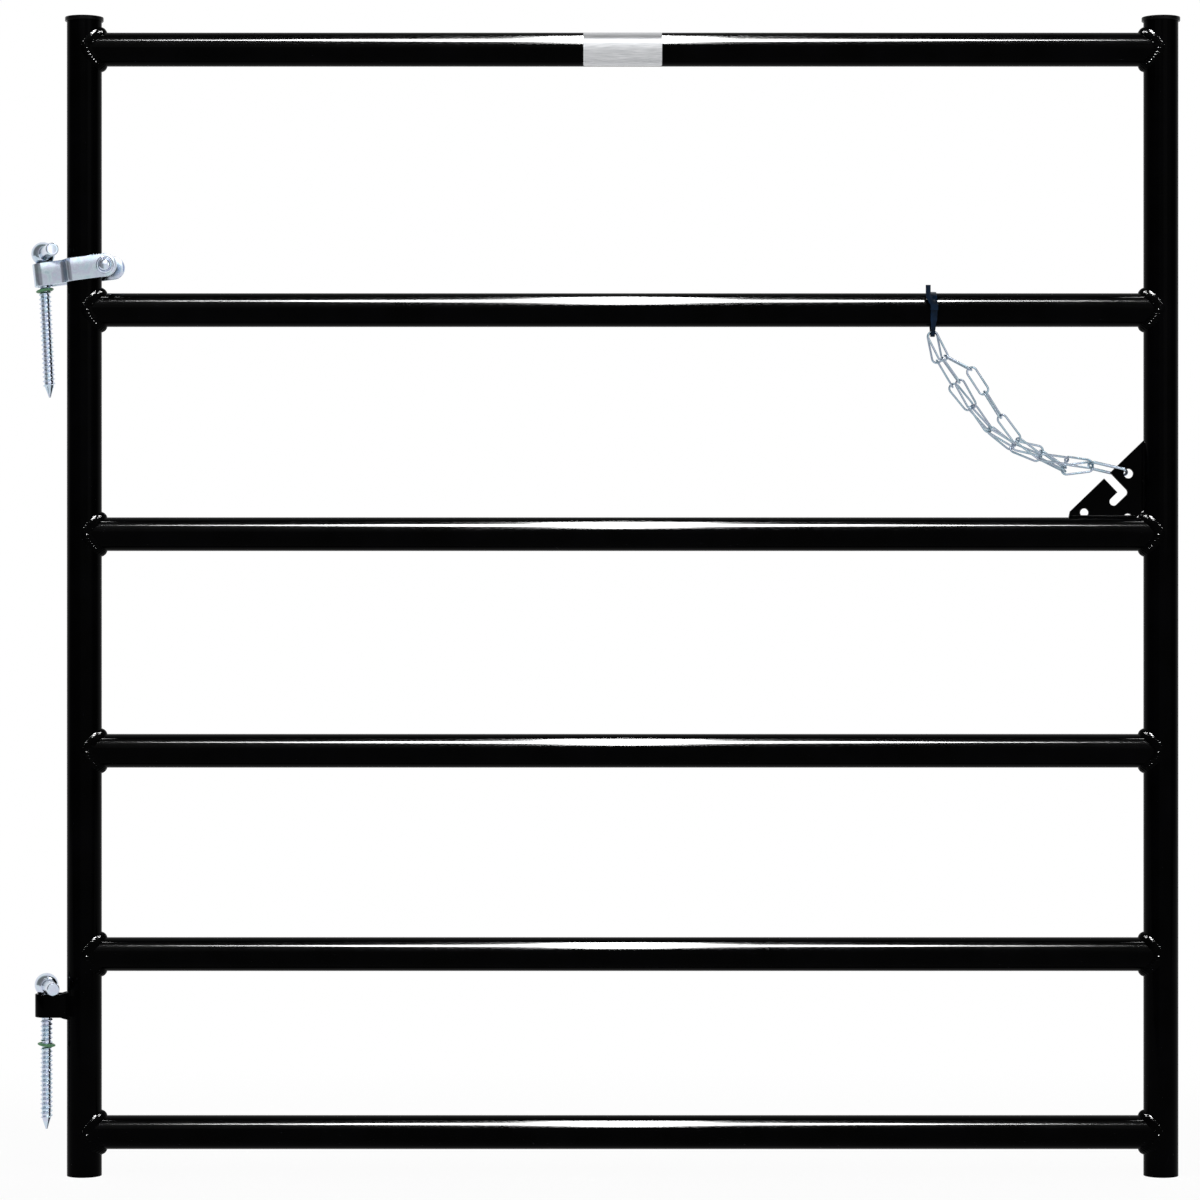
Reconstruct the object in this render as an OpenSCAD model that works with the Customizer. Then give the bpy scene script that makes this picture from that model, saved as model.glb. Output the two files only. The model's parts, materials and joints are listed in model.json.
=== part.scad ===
// Tube field gate: six coped rails between two uprights, hung on two screw hooks, latched by a chain.
// X runs along the gate from the hinge line, Y points away from the viewer, Z is up.
// The origin is on the lower hook's axis, where its free thread begins under the retainer.

/* [Frame] */
// Width over both uprights
gate_w = 1219; // [900:1:1800]
// Outside diameter of an upright
upright_d = 38.1; // [37.6:0.1:44]
// Outside diameter of a rail
rail_d = 37; // [32:0.1:37.6]
// Wall of every tube
tube_wall = 1.8; // [1.2:0.1:3]
// Gap that the weld bridges between a coped rail end and its upright
cope_gap = 0.2; // [0.1:0.05:0.5]
// Height of the bottom rail's centre line above the foot
bottom_rail_h = 47.3; // [30:0.1:110]
// Rise from the bottom rail to the fifth rail, between centre lines
rise_to_5 = 195.3; // [180:0.1:320]
// Rise from the fifth rail to the fourth
rise_to_4 = 223; // [120:0.1:360]
// Rise from the fourth rail to the third, which carries the latch plate
rise_to_3 = 237.6; // [120:0.1:360]
// Rise from the third rail to the second, which carries the cable tie
rise_to_2 = 245.8; // [225:0.1:300]
// Rise from the second rail to the top rail
rise_to_1 = 285.7; // [120:0.1:400]
// Length of the uprights above the top rail's centre line
upright_head = 30.8; // [26:0.1:80]

/* [Caps] */
// Diameter of a cap's flange
cap_d = 42; // [40:0.1:48]
// Thickness of the flange at its rim
cap_h = 4.4; // [2:0.1:8]
// Rise of the flange's crown over its rim
cap_dome = 1.6; // [0.5:0.1:4]
// Depth of the sleeve inside the upright
cap_plug = 16; // [6:0.5:20]
// Wall of the sleeve
cap_wall = 2; // [1.2:0.1:4]
// Gap between the sleeve and the upright's bore
cap_fit = 0.2; // [0.1:0.05:0.5]

/* [Welds] */
// Leg of the bead round a rail end
weld_leg = 6; // [3:0.1:8]
// Crown of that bead at the upright's flank
weld_crown = 2; // [0.5:0.1:3]
// Gap between a bead's solid and the metal that it joins
weld_gap = 0.25; // [0.2:0.05:0.4]
// Leg of the beads along the latch plate
plate_weld = 2.2; // [1:0.1:4]
// Leg of the upright beads beside the lower eye
eye_weld = 4.5; // [2:0.1:5]
// Length along the strip of the flared beads above and below the lower eye
eye_flare = 9; // [4:0.1:12]
// Rise of those flared beads at the upright
eye_flare_rise = 2.4; // [1:0.1:2.8]

/* [Latch plate] */
// Thickness of the plate
plate_t = 3.4; // [2:0.1:4.2]
// Height of the plate up the latch upright
plate_rise = 84; // [76:0.1:110]
// Length of the plate along the rail
plate_run = 82; // [74:0.1:110]
// Height of the short edge at the plate's nose
plate_nose = 6.2; // [3:0.1:12]
// Slope of that short edge
plate_nose_taper = 1.3; // [0:0.1:4]
// Width of the cranked chain slot
slot_w = 9; // [6:0.1:10]
// Place of the slot's mouth along the sloping edge, from the upright
slot_along = 55.5; // [50:0.1:62]
// Depth of the slot's first leg
slot_in = 25.5; // [18:0.1:30]
// Length of the slot's second leg
slot_down = 14.5; // [8:0.1:18]
// Diameter of the chain hole
chain_hole_d = 10.4; // [9.6:0.1:12]
// Place of the chain hole along the sloping edge, from the upright
chain_hole_along = 37.1; // [32:0.1:42]
// Depth of the chain hole under the sloping edge
chain_hole_in = 14.6; // [13:0.1:18]
// Diameter of the two holes near the rail
spare_hole_d = 9.2; // [5:0.1:10]
// Distance of the outer one from the upright
spare_hole_run = 65; // [58:0.1:70]
// Height of the outer one over the rail
spare_hole_rise = 4.9; // [4.6:0.1:8]
// Distance of the inner one, a notch in the welded edge, from the upright
notch_run = 17.3; // [17:0.1:30]
// Depth of the notch's centre under the welded edge
notch_drop = 0.8; // [0:0.1:2]
// Room between the plate's clipped corner and the toes of the rail's bead
clip_room = 1.3; // [1.1:0.1:6]

/* [Hinge eyes] */
// Width of the strip that both eyes are bent from
strip_w = 25.4; // [20:0.1:30]
// Thickness of the strip
strip_t = 3.2; // [2.5:0.1:4]
// Bore of an eye
eye_bore = 18.4; // [17.6:0.1:20]
// Distance from the upright's axis to the lower eye's axis
lower_eye_offset = 41.5; // [38:0.1:50]
// Height of the lower eye's underside above the bottom rail's centre line
lower_eye_rise = 126.6; // [110:0.1:140]

/* [Hinge strap] */
// Distance from the upright's axis to the strap's eye
strap_offset = 44.5; // [43:0.1:54]
// Height of the strap's middle above the second rail's centre line
strap_rise = 44.2; // [40:0.1:200]
// Tilt of the strap, rising away from the eye
strap_tilt = 6.9; // [5:0.1:7.5]
// Turn of the strap round the upright
strap_swivel = 5; // [0:0.1:8]
// Gap between a leg of the strap and the upright
strap_fit = 0.3; // [0.2:0.05:0.6]
// Place of the bolt beyond the upright's axis
strap_bolt_x = 28; // [26:0.1:34]
// Place before the upright's axis where the legs begin to flare
flare_x = 23.5; // [22:0.1:26]
// Angle of the flare
flare_angle = 50; // [40:1:60]
// Bend radius of the flare, to the middle of the strip
flare_r = 6; // [4:0.1:7]
// Diameter of the clamp bolt
bolt_d = 8; // [6:0.1:10]
// Gap round the bolt
bolt_fit = 0.3; // [0.2:0.05:0.6]
// Diameter of the bolt's head
bolt_head_d = 19.6; // [16:0.1:22]
// Height of the head's rim
bolt_rim_h = 1.6; // [1:0.1:3]
// Diameter of the crown on the head
bolt_crown_d = 13; // [10:0.1:15]
// Height of the crown over the rim
bolt_crown_h = 3; // [1.5:0.1:4]
// Outside diameter of the washer
washer_d = 18; // [14:0.1:22]
// Thickness of the washer
washer_t = 1.6; // [1:0.1:3]
// Width of the nut across its flats
nut_flats = 13; // [12:0.1:17]
// Height of the nut
nut_h = 6.5; // [4:0.1:9]
// Length of the bolt's end beyond the nut
bolt_end = 4; // [1:0.1:10]

/* [Screw hooks] */
// Diameter of the ball shoulder
ball_d = 26; // [24:0.1:29]
// Diameter of the rod, over the thread and on the pintle
rod_d = 14; // [12:0.1:14.6]
// Diameter at the thread's root
root_d = 10.4; // [8:0.1:11]
// Length of the pintle from the ball's centre
pintle_len = 50; // [40:0.5:60]
// Chamfer at the pintle's end
pintle_chamfer = 1; // [0.5:0.1:2]
// Length of the shank from the ball's centre to its tip
shank_len = 158; // [140:0.5:180]
// Length of the pointed tip
tip_len = 13; // [8:0.1:20]
// Flat left on the tip
tip_d = 2; // [1:0.1:4]
// Turn of the lower pintle from the viewer's side towards the gate
lower_turn_angle = 17; // [0:1:30]
// Turn of the upper pintle
upper_turn_angle = 20; // [0:1:30]
// Lean of the upper hook's shank from the vertical
upper_lean = 2.7; // [2:0.1:6]
// Sideways place of the upper hook's ball on its eye
upper_shift = 1; // [0.6:0.05:1.3]
// Gap between a ball and the rim that it sits on
ball_gap = 0.3; // [0.2:0.05:0.5]

/* [Retainers] */
// Outside diameter of a retainer
ring_d = 19.5; // [17:0.1:24]
// Height of a retainer at its bore
ring_h = 3.2; // [2:0.1:4]
// Height of a retainer at its rim
ring_rim_h = 1.2; // [0.6:0.1:1.8]
// Width of the bevel at the rim
ring_bevel = 1.8; // [1:0.1:2.4]
// Gap between a retainer and the thread valley that it sits in
ring_gap = 0.3; // [0.2:0.05:0.5]
// Drop of the lower retainer under its eye
lower_ring_drop = 30.5; // [20:0.1:40]
// Drop of the upper retainer under its eye
upper_ring_drop = 4.4; // [4:0.1:12]

/* [Chain] */
// Wire of a link
wire_d = 2.4; // [2:0.1:2.6]
// Inside length of a link
link_len = 32.2; // [31.8:0.1:32.6]
// Inside width of a link
link_inside_w = 8.2; // [7.8:0.1:9.2]
// Play between two links at a knot
link_slack = 0.65; // [0.5:0.05:0.7]
// Gap between two links that share an end, as a share of the width that their wires leave free
pair_gap_share = 0.412; // [0.3:0.002:0.47]
// Extra play of a link that turns sharply in a shared end
fold_ease = 0.9; // [0.8:0.05:1.1]
// Wire of the end link
end_wire_d = 3.4; // [2.8:0.1:3.6]
// Inside length of the end link
end_len = 39; // [38:0.1:40]
// Outside width of the end link
end_w = 16.6; // [16:0.1:17.4]
// Slope of the end link, down towards the plate
end_slope = 13; // [8:1:18]
// Roll of the end link, its front leg over its rear leg
end_roll = 60; // [58:1:66]
// Roll of the second fold link
fold_roll = -5; // [-7:1:-2]
// Distance that the end link is pulled off the hole's centre
end_pull = 2; // [1.4:0.1:2.1]
// Slope of the first fold link, down from the tie
first_slope = 63; // [58:1:66]
// Slope of the second fold link, up towards the end link
fold_slope = 7; // [4:1:8]
// Bow of the upper strand towards the viewer
strand_a_bow_angle = 22; // [20:1:24]
// Bow of the middle strand towards the viewer
strand_b_bow_angle = 6; // [4:1:8]
// Bow of the lower strand away from the viewer
strand_c_bow_angle = 9; // [8:1:10]

/* [Cable tie] */
// Distance of the tie from the latch upright's axis
tie_from_latch = 250.5; // [248:0.5:252]
// Width of the strap on the rail
tie_w = 7.2; // [6:0.1:8]
// Width of the strap where it curls through the links
tie_nip_w = 4.8; // [4:0.1:5]
// Thickness of the strap
tie_t = 1.2; // [0.9:0.1:1.3]
// Gap between the strap and the rail
tie_fit = 0.3; // [0.2:0.05:0.5]
// Inside radius of the strap's lower bend
tie_nip_r = 5; // [4.6:0.1:6]
// Drop of the lower bend under the rail
tie_drop = 11; // [10.5:0.1:12]
// Width of the head
tie_head_w = 8.4; // [7.6:0.1:11]
// Height of the head
tie_head_h = 7; // [5:0.1:9]
// Depth of the head in front of the strap
tie_head_t = 4.6; // [3:0.1:6]
// Height of the head's middle over the rail's axis
tie_head_rise = 1.5; // [0:0.1:5]
// Width of the tail
tie_tail_w = 5.4; // [4:0.1:7]
// Length of the tail's leaning part
tie_tail_run = 14; // [8:0.1:18]
// Lean of that part
tie_tail_lean = 29; // [10:1:35]
// Length of the tail's upright end
tie_tail_end = 12; // [3:0.1:14]

/* [Hidden] */
$fn = 64;
// Steps in a bend of the strap
bend_steps = 10;
// Rings in a weld bead, and points in each ring
weld_steps = 28;
weld_sides = 5;
// Share of a bead's crown that is left where the rail's top meets the upright
weld_crown_share = 0.3;
// Spare share of a link that decides how many links a strand has
spare_a_share = 0.02;
spare_bc_share = 0.05;
// Halvings when a strand's curve is solved, and passes that settle its ends
solve_steps = 40;
settle_steps = 5;
// Greatest share by which the slopes of a strand's links can grow
ease_most_share = 6;
// Slopes of the links, down to the right, from the tie to the plate
strand_a_slopes = [34, 44, 44, 42, 36, 26, 26];
strand_b_slopes = [50, 54, 50, 34, 22, 36];
strand_c_slopes = [82, 61, 52, 49, 40, 22, 27];
// Twist that builds up and runs out along the two long strands
strand_b_twist_angle = 20;
strand_c_twist_angle = -15;
// Overrun of every cut
over = 2;

paint = "#141518";
zinc = "#b8c1c8";
green = "#4e9159";
nylon = "#18222e";

rail_6_h = bottom_rail_h;
rail_5_h = rail_6_h + rise_to_5;
rail_4_h = rail_5_h + rise_to_4;
rail_3_h = rail_4_h + rise_to_3;
rail_2_h = rail_3_h + rise_to_2;
rail_1_h = rail_2_h + rise_to_1;
upright_h = rail_1_h + upright_head;
corner_clip = weld_leg + clip_room;
lower_eye_h = rail_6_h + lower_eye_rise;
strap_h = rail_2_h + strap_rise;
upright_r = upright_d / 2;
rail_r = rail_d / 2;
groove_h = ring_h + 2 * ring_gap;
foot_z = lower_ring_drop + groove_h / 2 - lower_eye_h;
top_z = foot_z + upright_h;
hinge_x = lower_eye_offset;
latch_x = hinge_x + gate_w - upright_d;
eye_r = eye_bore / 2;
eye_out_r = eye_r + strip_t;

// Frame tubes

module tube(d, l) {
    difference() {
        cylinder(d = d, h = l);
        translate([0, 0, -over]) cylinder(d = d - 2 * tube_wall, h = l + 2 * over);
    }
}

module upright(x) {
    color(paint) translate([x, 0, foot_z]) tube(upright_d, upright_h);
}

// A rail runs from axis to axis and is coped by both uprights
module rail(h) {
    color(paint) difference() {
        translate([hinge_x, 0, foot_z + h]) rotate([0, 90, 0]) tube(rail_d, latch_x - hinge_x);
        for (x = [hinge_x, latch_x])
            translate([x, 0, foot_z + h - rail_d]) cylinder(d = upright_d + 2 * cope_gap, h = 2 * rail_d);
    }
}

module hinge_upright() { upright(hinge_x); }
module latch_upright() { upright(latch_x); }
module rail_1() { rail(rail_1_h); }
module rail_2() { rail(rail_2_h); }
module rail_3() { rail(rail_3_h); }
module rail_4() { rail(rail_4_h); }
module rail_5() { rail(rail_5_h); }
module rail_6() { rail(rail_6_h); }

// Caps: a crowned flange on a sleeve that pushes into the upright

module cap(x) {
    crown_r = (pow(cap_d / 2, 2) + pow(cap_dome, 2)) / (2 * cap_dome);
    sleeve_r = upright_r - tube_wall - cap_fit;
    color(paint) translate([x, 0, top_z]) rotate_extrude() {
        square([cap_d / 2, cap_h]);
        intersection() {
            translate([0, cap_h + cap_dome - crown_r]) circle(r = crown_r, $fn = 180);
            translate([0, cap_h]) square([cap_d / 2, cap_dome]);
        }
        translate([sleeve_r - cap_wall, -cap_plug]) square([cap_wall, cap_plug]);
    }
}

module hinge_cap() { cap(hinge_x); }
module latch_cap() { cap(latch_x); }

// Beads round the rail ends. The root follows the saddle where the two tubes meet; one toe lies
// along the rail, the other is walked out over the upright, and the crown bulges between them.

function saddle(a, leg) = let (
    r = rail_r + weld_gap,
    big = upright_r + weld_gap,
    turn = asin(r * cos(a) / big),
    walk = leg * cos(a) / big * 180 / PI
) [big * cos(turn + walk), big * sin(turn + walk), (r + leg) * sin(a)];

function weld_ring(a) = let (
    root = saddle(a, 0),
    mid = saddle(a, weld_leg / 2),
    toe = saddle(a, weld_leg),
    rail_toe = root + [weld_leg, 0, 0],
    out = unit([0, cos(a), sin(a)] + unit([root[0], root[1], 0])),
    rise = ((toe + rail_toe) / 2 - root) * out,
    bulge = weld_crown * (weld_crown_share + (1 - weld_crown_share) * pow(cos(a), 2))
) [root, mid, toe, root + out * (rise + bulge), rail_toe];

function unit(v) = v / norm(v);

module rail_weld() {
    points = [for (i = [0:weld_steps - 1]) each weld_ring(360 * i / weld_steps)];
    faces = [for (i = [0:weld_steps - 1]) for (j = [0:weld_sides - 1]) let (
        p = i * weld_sides + j,
        q = i * weld_sides + (j + 1) % weld_sides,
        wrap = weld_steps * weld_sides
    ) each [[p, q, (p + weld_sides) % wrap], [q, (q + weld_sides) % wrap, (p + weld_sides) % wrap]]];
    polyhedron(points, faces);
}

module rail_welds() {
    for (h = [rail_1_h, rail_2_h, rail_3_h, rail_4_h, rail_5_h, rail_6_h])
        translate([0, 0, foot_z + h]) rail_weld();
}

module hinge_side_welds() { color(paint) translate([hinge_x, 0, 0]) rail_welds(); }
module latch_side_welds() { color(paint) translate([latch_x, 0, 0]) mirror([1, 0, 0]) rail_welds(); }

// Latch plate. Its drawing has its corner where the upright's flank meets the rail's crest.

corner = [latch_x - upright_r - cope_gap, 0, foot_z + rail_3_h + rail_r + cope_gap];
edge_top = [0, plate_rise];
edge_end = [plate_nose_taper - plate_run, plate_nose];
edge_dir = unit(edge_end - edge_top);
edge_in = [-edge_dir[1], edge_dir[0]];
edge_angle = atan2(edge_dir[1], edge_dir[0]);
slot_mouth = edge_top + edge_dir * slot_along;
slot_corner = slot_mouth + edge_in * slot_in;
chain_hole = edge_top + edge_dir * chain_hole_along + edge_in * chain_hole_in;

module slot_leg(from, angle, back, ahead) {
    translate(from) rotate(angle) translate([-back, -slot_w / 2]) square([back + ahead, slot_w]);
    translate(from) rotate(angle) translate([ahead, 0]) circle(d = slot_w);
}

module latch_plate() {
    color(paint) translate(corner) rotate([90, 0, 0]) linear_extrude(plate_t, center = true) difference() {
        polygon([[0, corner_clip], edge_top, edge_end, [-plate_run, 0], [-corner_clip, 0]]);
        slot_leg(slot_mouth, edge_angle + 90, over, slot_in);
        slot_leg(slot_corner, edge_angle, 0, slot_down);
        translate(chain_hole) circle(d = chain_hole_d);
        translate([-spare_hole_run, spare_hole_rise]) circle(d = spare_hole_d);
        translate([-notch_run, -notch_drop]) circle(d = spare_hole_d);
    }
}

// Bead along one edge of the plate, on both faces, where the edge stands on the crest of a tube
module edge_weld(r, l) {
    y0 = plate_t / 2 + weld_gap;
    y1 = y0 + plate_weld;
    z0 = sqrt(r * r - y0 * y0) - r + weld_gap;
    z1 = sqrt(r * r - y1 * y1) - r + weld_gap;
    for (side = [0, 1]) mirror([0, side, 0]) rotate([90, 0, 90]) linear_extrude(l)
        polygon([[y0, z0], [y1, z1], [y0, z0 + plate_weld]]);
}

module latch_plate_welds() {
    color(paint) translate([corner[0], 0, corner[2]]) {
        translate([-plate_run, 0, -cope_gap]) edge_weld(rail_r, plate_run - corner_clip);
        translate([cope_gap, 0, corner_clip]) rotate([0, -90, 0])
            edge_weld(upright_r, plate_rise - corner_clip);
    }
}

// Eye bent from strip, open towards +X, with two straight legs
module eye_strip(l) {
    linear_extrude(strip_w, center = true) difference() {
        union() {
            circle(r = eye_out_r);
            translate([0, -eye_out_r]) square([l, 2 * eye_out_r]);
        }
        circle(r = eye_r);
        translate([0, -eye_r]) square([l + over, 2 * eye_r]);
    }
}

module upright_clear(gap) {
    translate([hinge_x, 0, foot_z]) cylinder(r = upright_r + gap, h = upright_h);
}

lower_eye_z = foot_z + lower_eye_h + strip_w / 2;

module lower_eye() {
    color(paint) difference() {
        translate([0, 0, lower_eye_z]) eye_strip(lower_eye_offset);
        upright_clear(cope_gap);
    }
}

// Upright beads outside both legs, and flared beads on their top and bottom edges
module lower_eye_welds() {
    r = upright_r + weld_gap;
    y0 = eye_out_r + weld_gap;
    toe_y = y0 + eye_weld;
    mid_y = y0 + eye_weld / 2;
    x0 = hinge_x - sqrt(r * r - y0 * y0);
    z0 = strip_w / 2 + weld_gap;
    flare_root = hinge_x - sqrt(r * r - eye_r * eye_r);
    color(paint) translate([0, 0, lower_eye_z]) for (side = [0, 1]) mirror([0, side, 0]) {
        linear_extrude(strip_w, center = true) polygon([
            [x0 - eye_weld, y0],
            [x0, y0],
            [hinge_x - sqrt(r * r - mid_y * mid_y), mid_y],
            [hinge_x - sqrt(r * r - toe_y * toe_y), toe_y]
        ]);
        for (end = [0, 1]) mirror([0, 0, end]) difference() {
            translate([0, eye_out_r, 0]) rotate([90, 0, 0]) linear_extrude(strip_t) polygon([
                [flare_root - eye_flare, z0],
                [hinge_x, z0],
                [hinge_x, z0 + eye_flare_rise],
                [flare_root, z0 + eye_flare_rise]
            ]);
            translate([hinge_x, 0, 0]) cylinder(r = r, h = strip_w + eye_flare_rise);
        }
    }
}

// Strap hinge. Its own frame has its origin on the upright's axis and its eye towards -X.

leg_y = upright_r + strap_fit + strip_t / 2;
flare_rise = leg_y - eye_r - strip_t / 2;
flare_run = (flare_rise - 2 * flare_r * (1 - cos(flare_angle))) / sin(flare_angle);
flare_len = 2 * flare_r * sin(flare_angle) + flare_run * cos(flare_angle);

module at_strap() {
    translate([hinge_x, 0, foot_z + strap_h]) rotate([0, -strap_tilt, -strap_swivel]) children();
}

module along_y(y) {
    translate([strap_bolt_x, y, 0]) rotate([-90, 0, 0]) children();
}

function arc_points(c, r, from, to) = [for (i = [0:bend_steps])
    c + r * [cos(from + (to - from) * i / bend_steps), sin(from + (to - from) * i / bend_steps)]];

// Edge of a leg at a distance from the middle of its strip: out of the eye's leg, over the flare
// and along the upright to the bolt
function leg_edge(off) = [
    [-strap_offset / 2 - flare_x / 2, eye_r + strip_t / 2 + off],
    each arc_points([-flare_x, eye_r + strip_t / 2 + flare_r], flare_r - off, -90, flare_angle - 90),
    each arc_points([flare_len - flare_x, leg_y - flare_r], flare_r + off, 90 + flare_angle, 90),
    [strap_bolt_x, leg_y + off]
];
function reversed(list) = [for (i = [len(list) - 1:-1:0]) list[i]];

module hinge_strap() {
    color(zinc) at_strap() difference() {
        union() {
            translate([-strap_offset, 0, 0]) eye_strip(strap_offset - flare_x);
            for (side = [0, 1]) mirror([0, side, 0]) linear_extrude(strip_w, center = true)
                polygon(concat(leg_edge(strip_t / 2), reversed(leg_edge(-strip_t / 2))));
            for (y = [-leg_y, leg_y]) along_y(y - strip_t / 2) cylinder(d = strip_w, h = strip_t);
        }
        along_y(-leg_y - strip_t) cylinder(r = bolt_d / 2 + bolt_fit, h = 2 * (leg_y + strip_t));
    }
}

leg_out = leg_y + strip_t / 2;

module strap_bolt() {
    crown_r = (pow(bolt_crown_d / 2, 2) + pow(bolt_crown_h, 2)) / (2 * bolt_crown_h);
    color(zinc) at_strap() along_y(-leg_out) rotate_extrude() {
        square([bolt_d / 2, 2 * leg_out + washer_t + nut_h + bolt_end]);
        translate([0, -bolt_rim_h]) square([bolt_head_d / 2, bolt_rim_h]);
        intersection() {
            translate([0, crown_r - bolt_rim_h - bolt_crown_h]) circle(r = crown_r, $fn = 180);
            translate([0, -bolt_rim_h - bolt_crown_h]) square([bolt_crown_d / 2, bolt_crown_h]);
        }
    }
}

module strap_washer() {
    color(zinc) at_strap() along_y(leg_out) difference() {
        cylinder(d = washer_d, h = washer_t);
        translate([0, 0, -over]) cylinder(r = bolt_d / 2 + bolt_fit, h = washer_t + 2 * over);
    }
}

module strap_nut() {
    color(zinc) at_strap() along_y(leg_out + washer_t) difference() {
        cylinder(r = nut_flats / sqrt(3), h = nut_h, $fn = 6);
        translate([0, 0, -over]) cylinder(r = bolt_d / 2 + bolt_fit, h = nut_h + 2 * over);
    }
}

// Screw hooks: ball shoulder, pintle and lag shank, drawn with the origin at the ball's centre.
// The retainer sits in one valley of the thread.

function seat(shift) = sqrt(pow(ball_d / 2 + ball_gap, 2) - pow(eye_r - shift, 2));

module hook(ring_at, turn) {
    rod_r = rod_d / 2;
    color(zinc) {
        sphere(d = ball_d);
        rotate([0, 90, turn - 90]) rotate_extrude() polygon([
            [0, 0],
            [rod_r, 0],
            [rod_r, pintle_len - pintle_chamfer],
            [rod_r - pintle_chamfer, pintle_len],
            [0, pintle_len]
        ]);
        rotate_extrude() polygon([
            [0, 0],
            [rod_r, 0],
            [rod_r, -ring_at + groove_h / 2],
            [root_d / 2, -ring_at + groove_h / 2],
            [root_d / 2, -ring_at - groove_h / 2],
            [rod_r, -ring_at - groove_h / 2],
            [rod_r, tip_len - shank_len],
            [tip_d / 2, -shank_len],
            [0, -shank_len]
        ]);
    }
}

module retainer() {
    bore_r = root_d / 2 + ring_gap;
    color(green) rotate_extrude() polygon([
        [bore_r, -ring_h / 2],
        [ring_d / 2 - ring_bevel, -ring_h / 2],
        [ring_d / 2, -ring_rim_h / 2],
        [ring_d / 2, ring_rim_h / 2],
        [ring_d / 2 - ring_bevel, ring_h / 2],
        [bore_r, ring_h / 2]
    ]);
}

lower_ring_at = seat(0) + strip_w + lower_ring_drop;
upper_ring_at = seat(upper_shift) + strip_w + upper_ring_drop;

module at_lower_ball() {
    translate([0, 0, lower_eye_z + strip_w / 2 + seat(0)]) children();
}

module at_upper_ball() {
    at_strap() translate([upper_shift - strap_offset, 0, strip_w / 2 + seat(upper_shift)])
        rotate([0, strap_tilt - upper_lean, 0]) children();
}

module lower_hook() { at_lower_ball() hook(lower_ring_at, lower_turn_angle); }
module upper_hook() { at_upper_ball() hook(upper_ring_at, upper_turn_angle + strap_swivel); }
module lower_retainer() { at_lower_ball() translate([0, 0, -lower_ring_at]) retainer(); }
module upper_retainer() { at_upper_ball() translate([0, 0, -upper_ring_at]) retainer(); }

// Cable tie: a loop round the second rail with a lower bend that the links hang on

tie_pos = [latch_x - tie_from_latch, 0, foot_z + rail_2_h];
tie_big_r = rail_r + tie_fit;
tie_nip_z = tie_nip_r + tie_t - rail_r - tie_drop;

// Outline of a belt round a large circle and a small one under it
module belt(big, small) {
    side = acos((big - small) / -tie_nip_z);
    dir = [sin(side), -cos(side)];
    flip = [-dir[0], dir[1]];
    low = [0, tie_nip_z];
    circle(r = big, $fn = 96);
    translate(low) circle(r = small);
    polygon([big * dir, low + small * dir, low + small * flip, big * flip]);
}

module cable_tie() {
    front = -tie_big_r - tie_t;
    knee = [-tie_tail_run * sin(tie_tail_lean), 0, tie_tail_run * cos(tie_tail_lean)];
    shoulder = tie_nip_z + tie_nip_r;
    color(nylon) translate(tie_pos) {
        intersection() {
            rotate([90, 0, 90]) linear_extrude(tie_w, center = true) difference() {
                belt(tie_big_r + tie_t, tie_nip_r + tie_t);
                belt(tie_big_r, tie_nip_r);
            }
            rotate([90, 0, 0]) linear_extrude(4 * rail_d, center = true) polygon([
                [-tie_w / 2, rail_d], [tie_w / 2, rail_d],
                [tie_w / 2, shoulder + tie_w], [tie_nip_w / 2, shoulder],
                [tie_nip_w / 2, -2 * rail_d], [-tie_nip_w / 2, -2 * rail_d],
                [-tie_nip_w / 2, shoulder], [-tie_w / 2, shoulder + tie_w]
            ]);
        }
        translate([-tie_head_w / 2, front + tie_t / 2 - tie_head_t, tie_head_rise - tie_head_h / 2])
            cube([tie_head_w, tie_head_t, tie_head_h]);
        translate([0, front - tie_head_t / 2, tie_head_rise]) {
            rotate([0, -tie_tail_lean, 0]) translate([-tie_tail_w / 2, -tie_t, 0])
                cube([tie_tail_w, tie_t, tie_tail_run]);
            translate(knee) rotate([90, 0, 0]) cylinder(d = tie_tail_w, h = tie_t);
            translate(knee + [-tie_tail_w / 2, -tie_t, 0]) cube([tie_tail_w, tie_t, tie_tail_end]);
        }
    }
}

// Chain. A link is placed by the centres of its two end wires and by the normal of its plane.
// Two links meet at a knot; each end wire lies half a wire and half the play beyond it.

pitch = link_len - link_slack;
reach = (wire_d + link_slack) / 2;
link_c = link_len + wire_d;
link_w = link_inside_w + 2 * wire_d;
pair_gap = pair_gap_share * (link_inside_w - 2 * wire_d);
pair_off = (wire_d + pair_gap) / 2;

// Loss of depth where two wires share a round end of inside radius r
function pair_loss(r) = let (f = r - wire_d / 2 - link_slack) f - sqrt(f * f - pair_off * pair_off);
link_loss = pair_loss(link_inside_w / 2);
end_loss = pair_loss(end_w / 2 - end_wire_d);

// Depth at which the strap's lower bend clears the round end of the first links
nip_reach = link_inside_w / 2 + tie_t / 2;
nip_mid = tie_nip_z - tie_nip_r - tie_t / 2 + pair_off * pair_off / (2 * tie_nip_r);
function tie_point(side) = tie_pos + [0, side * pair_off, nip_mid];

hole_pos = corner + [chain_hole[0], 0, chain_hole[1]];
end_dir = [cos(end_slope), 0, -sin(end_slope)];
end_side = [sin(end_slope), 0, cos(end_slope)] * cos(end_roll) - [0, sin(end_roll), 0];
end_right = hole_pos - end_dir * end_pull;
end_left = end_right - end_dir * (end_len + end_wire_d);
end_nest = end_left + end_dir * ((end_wire_d + wire_d) / 2 + link_slack + end_loss);

first_dir = [cos(first_slope), 0, -sin(first_slope)];
first_up = [sin(first_slope), 0, cos(first_slope)];
first_start = tie_point(-1) - first_dir * nip_reach;
first_nest = first_start + first_dir * (pitch - link_loss);

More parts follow.
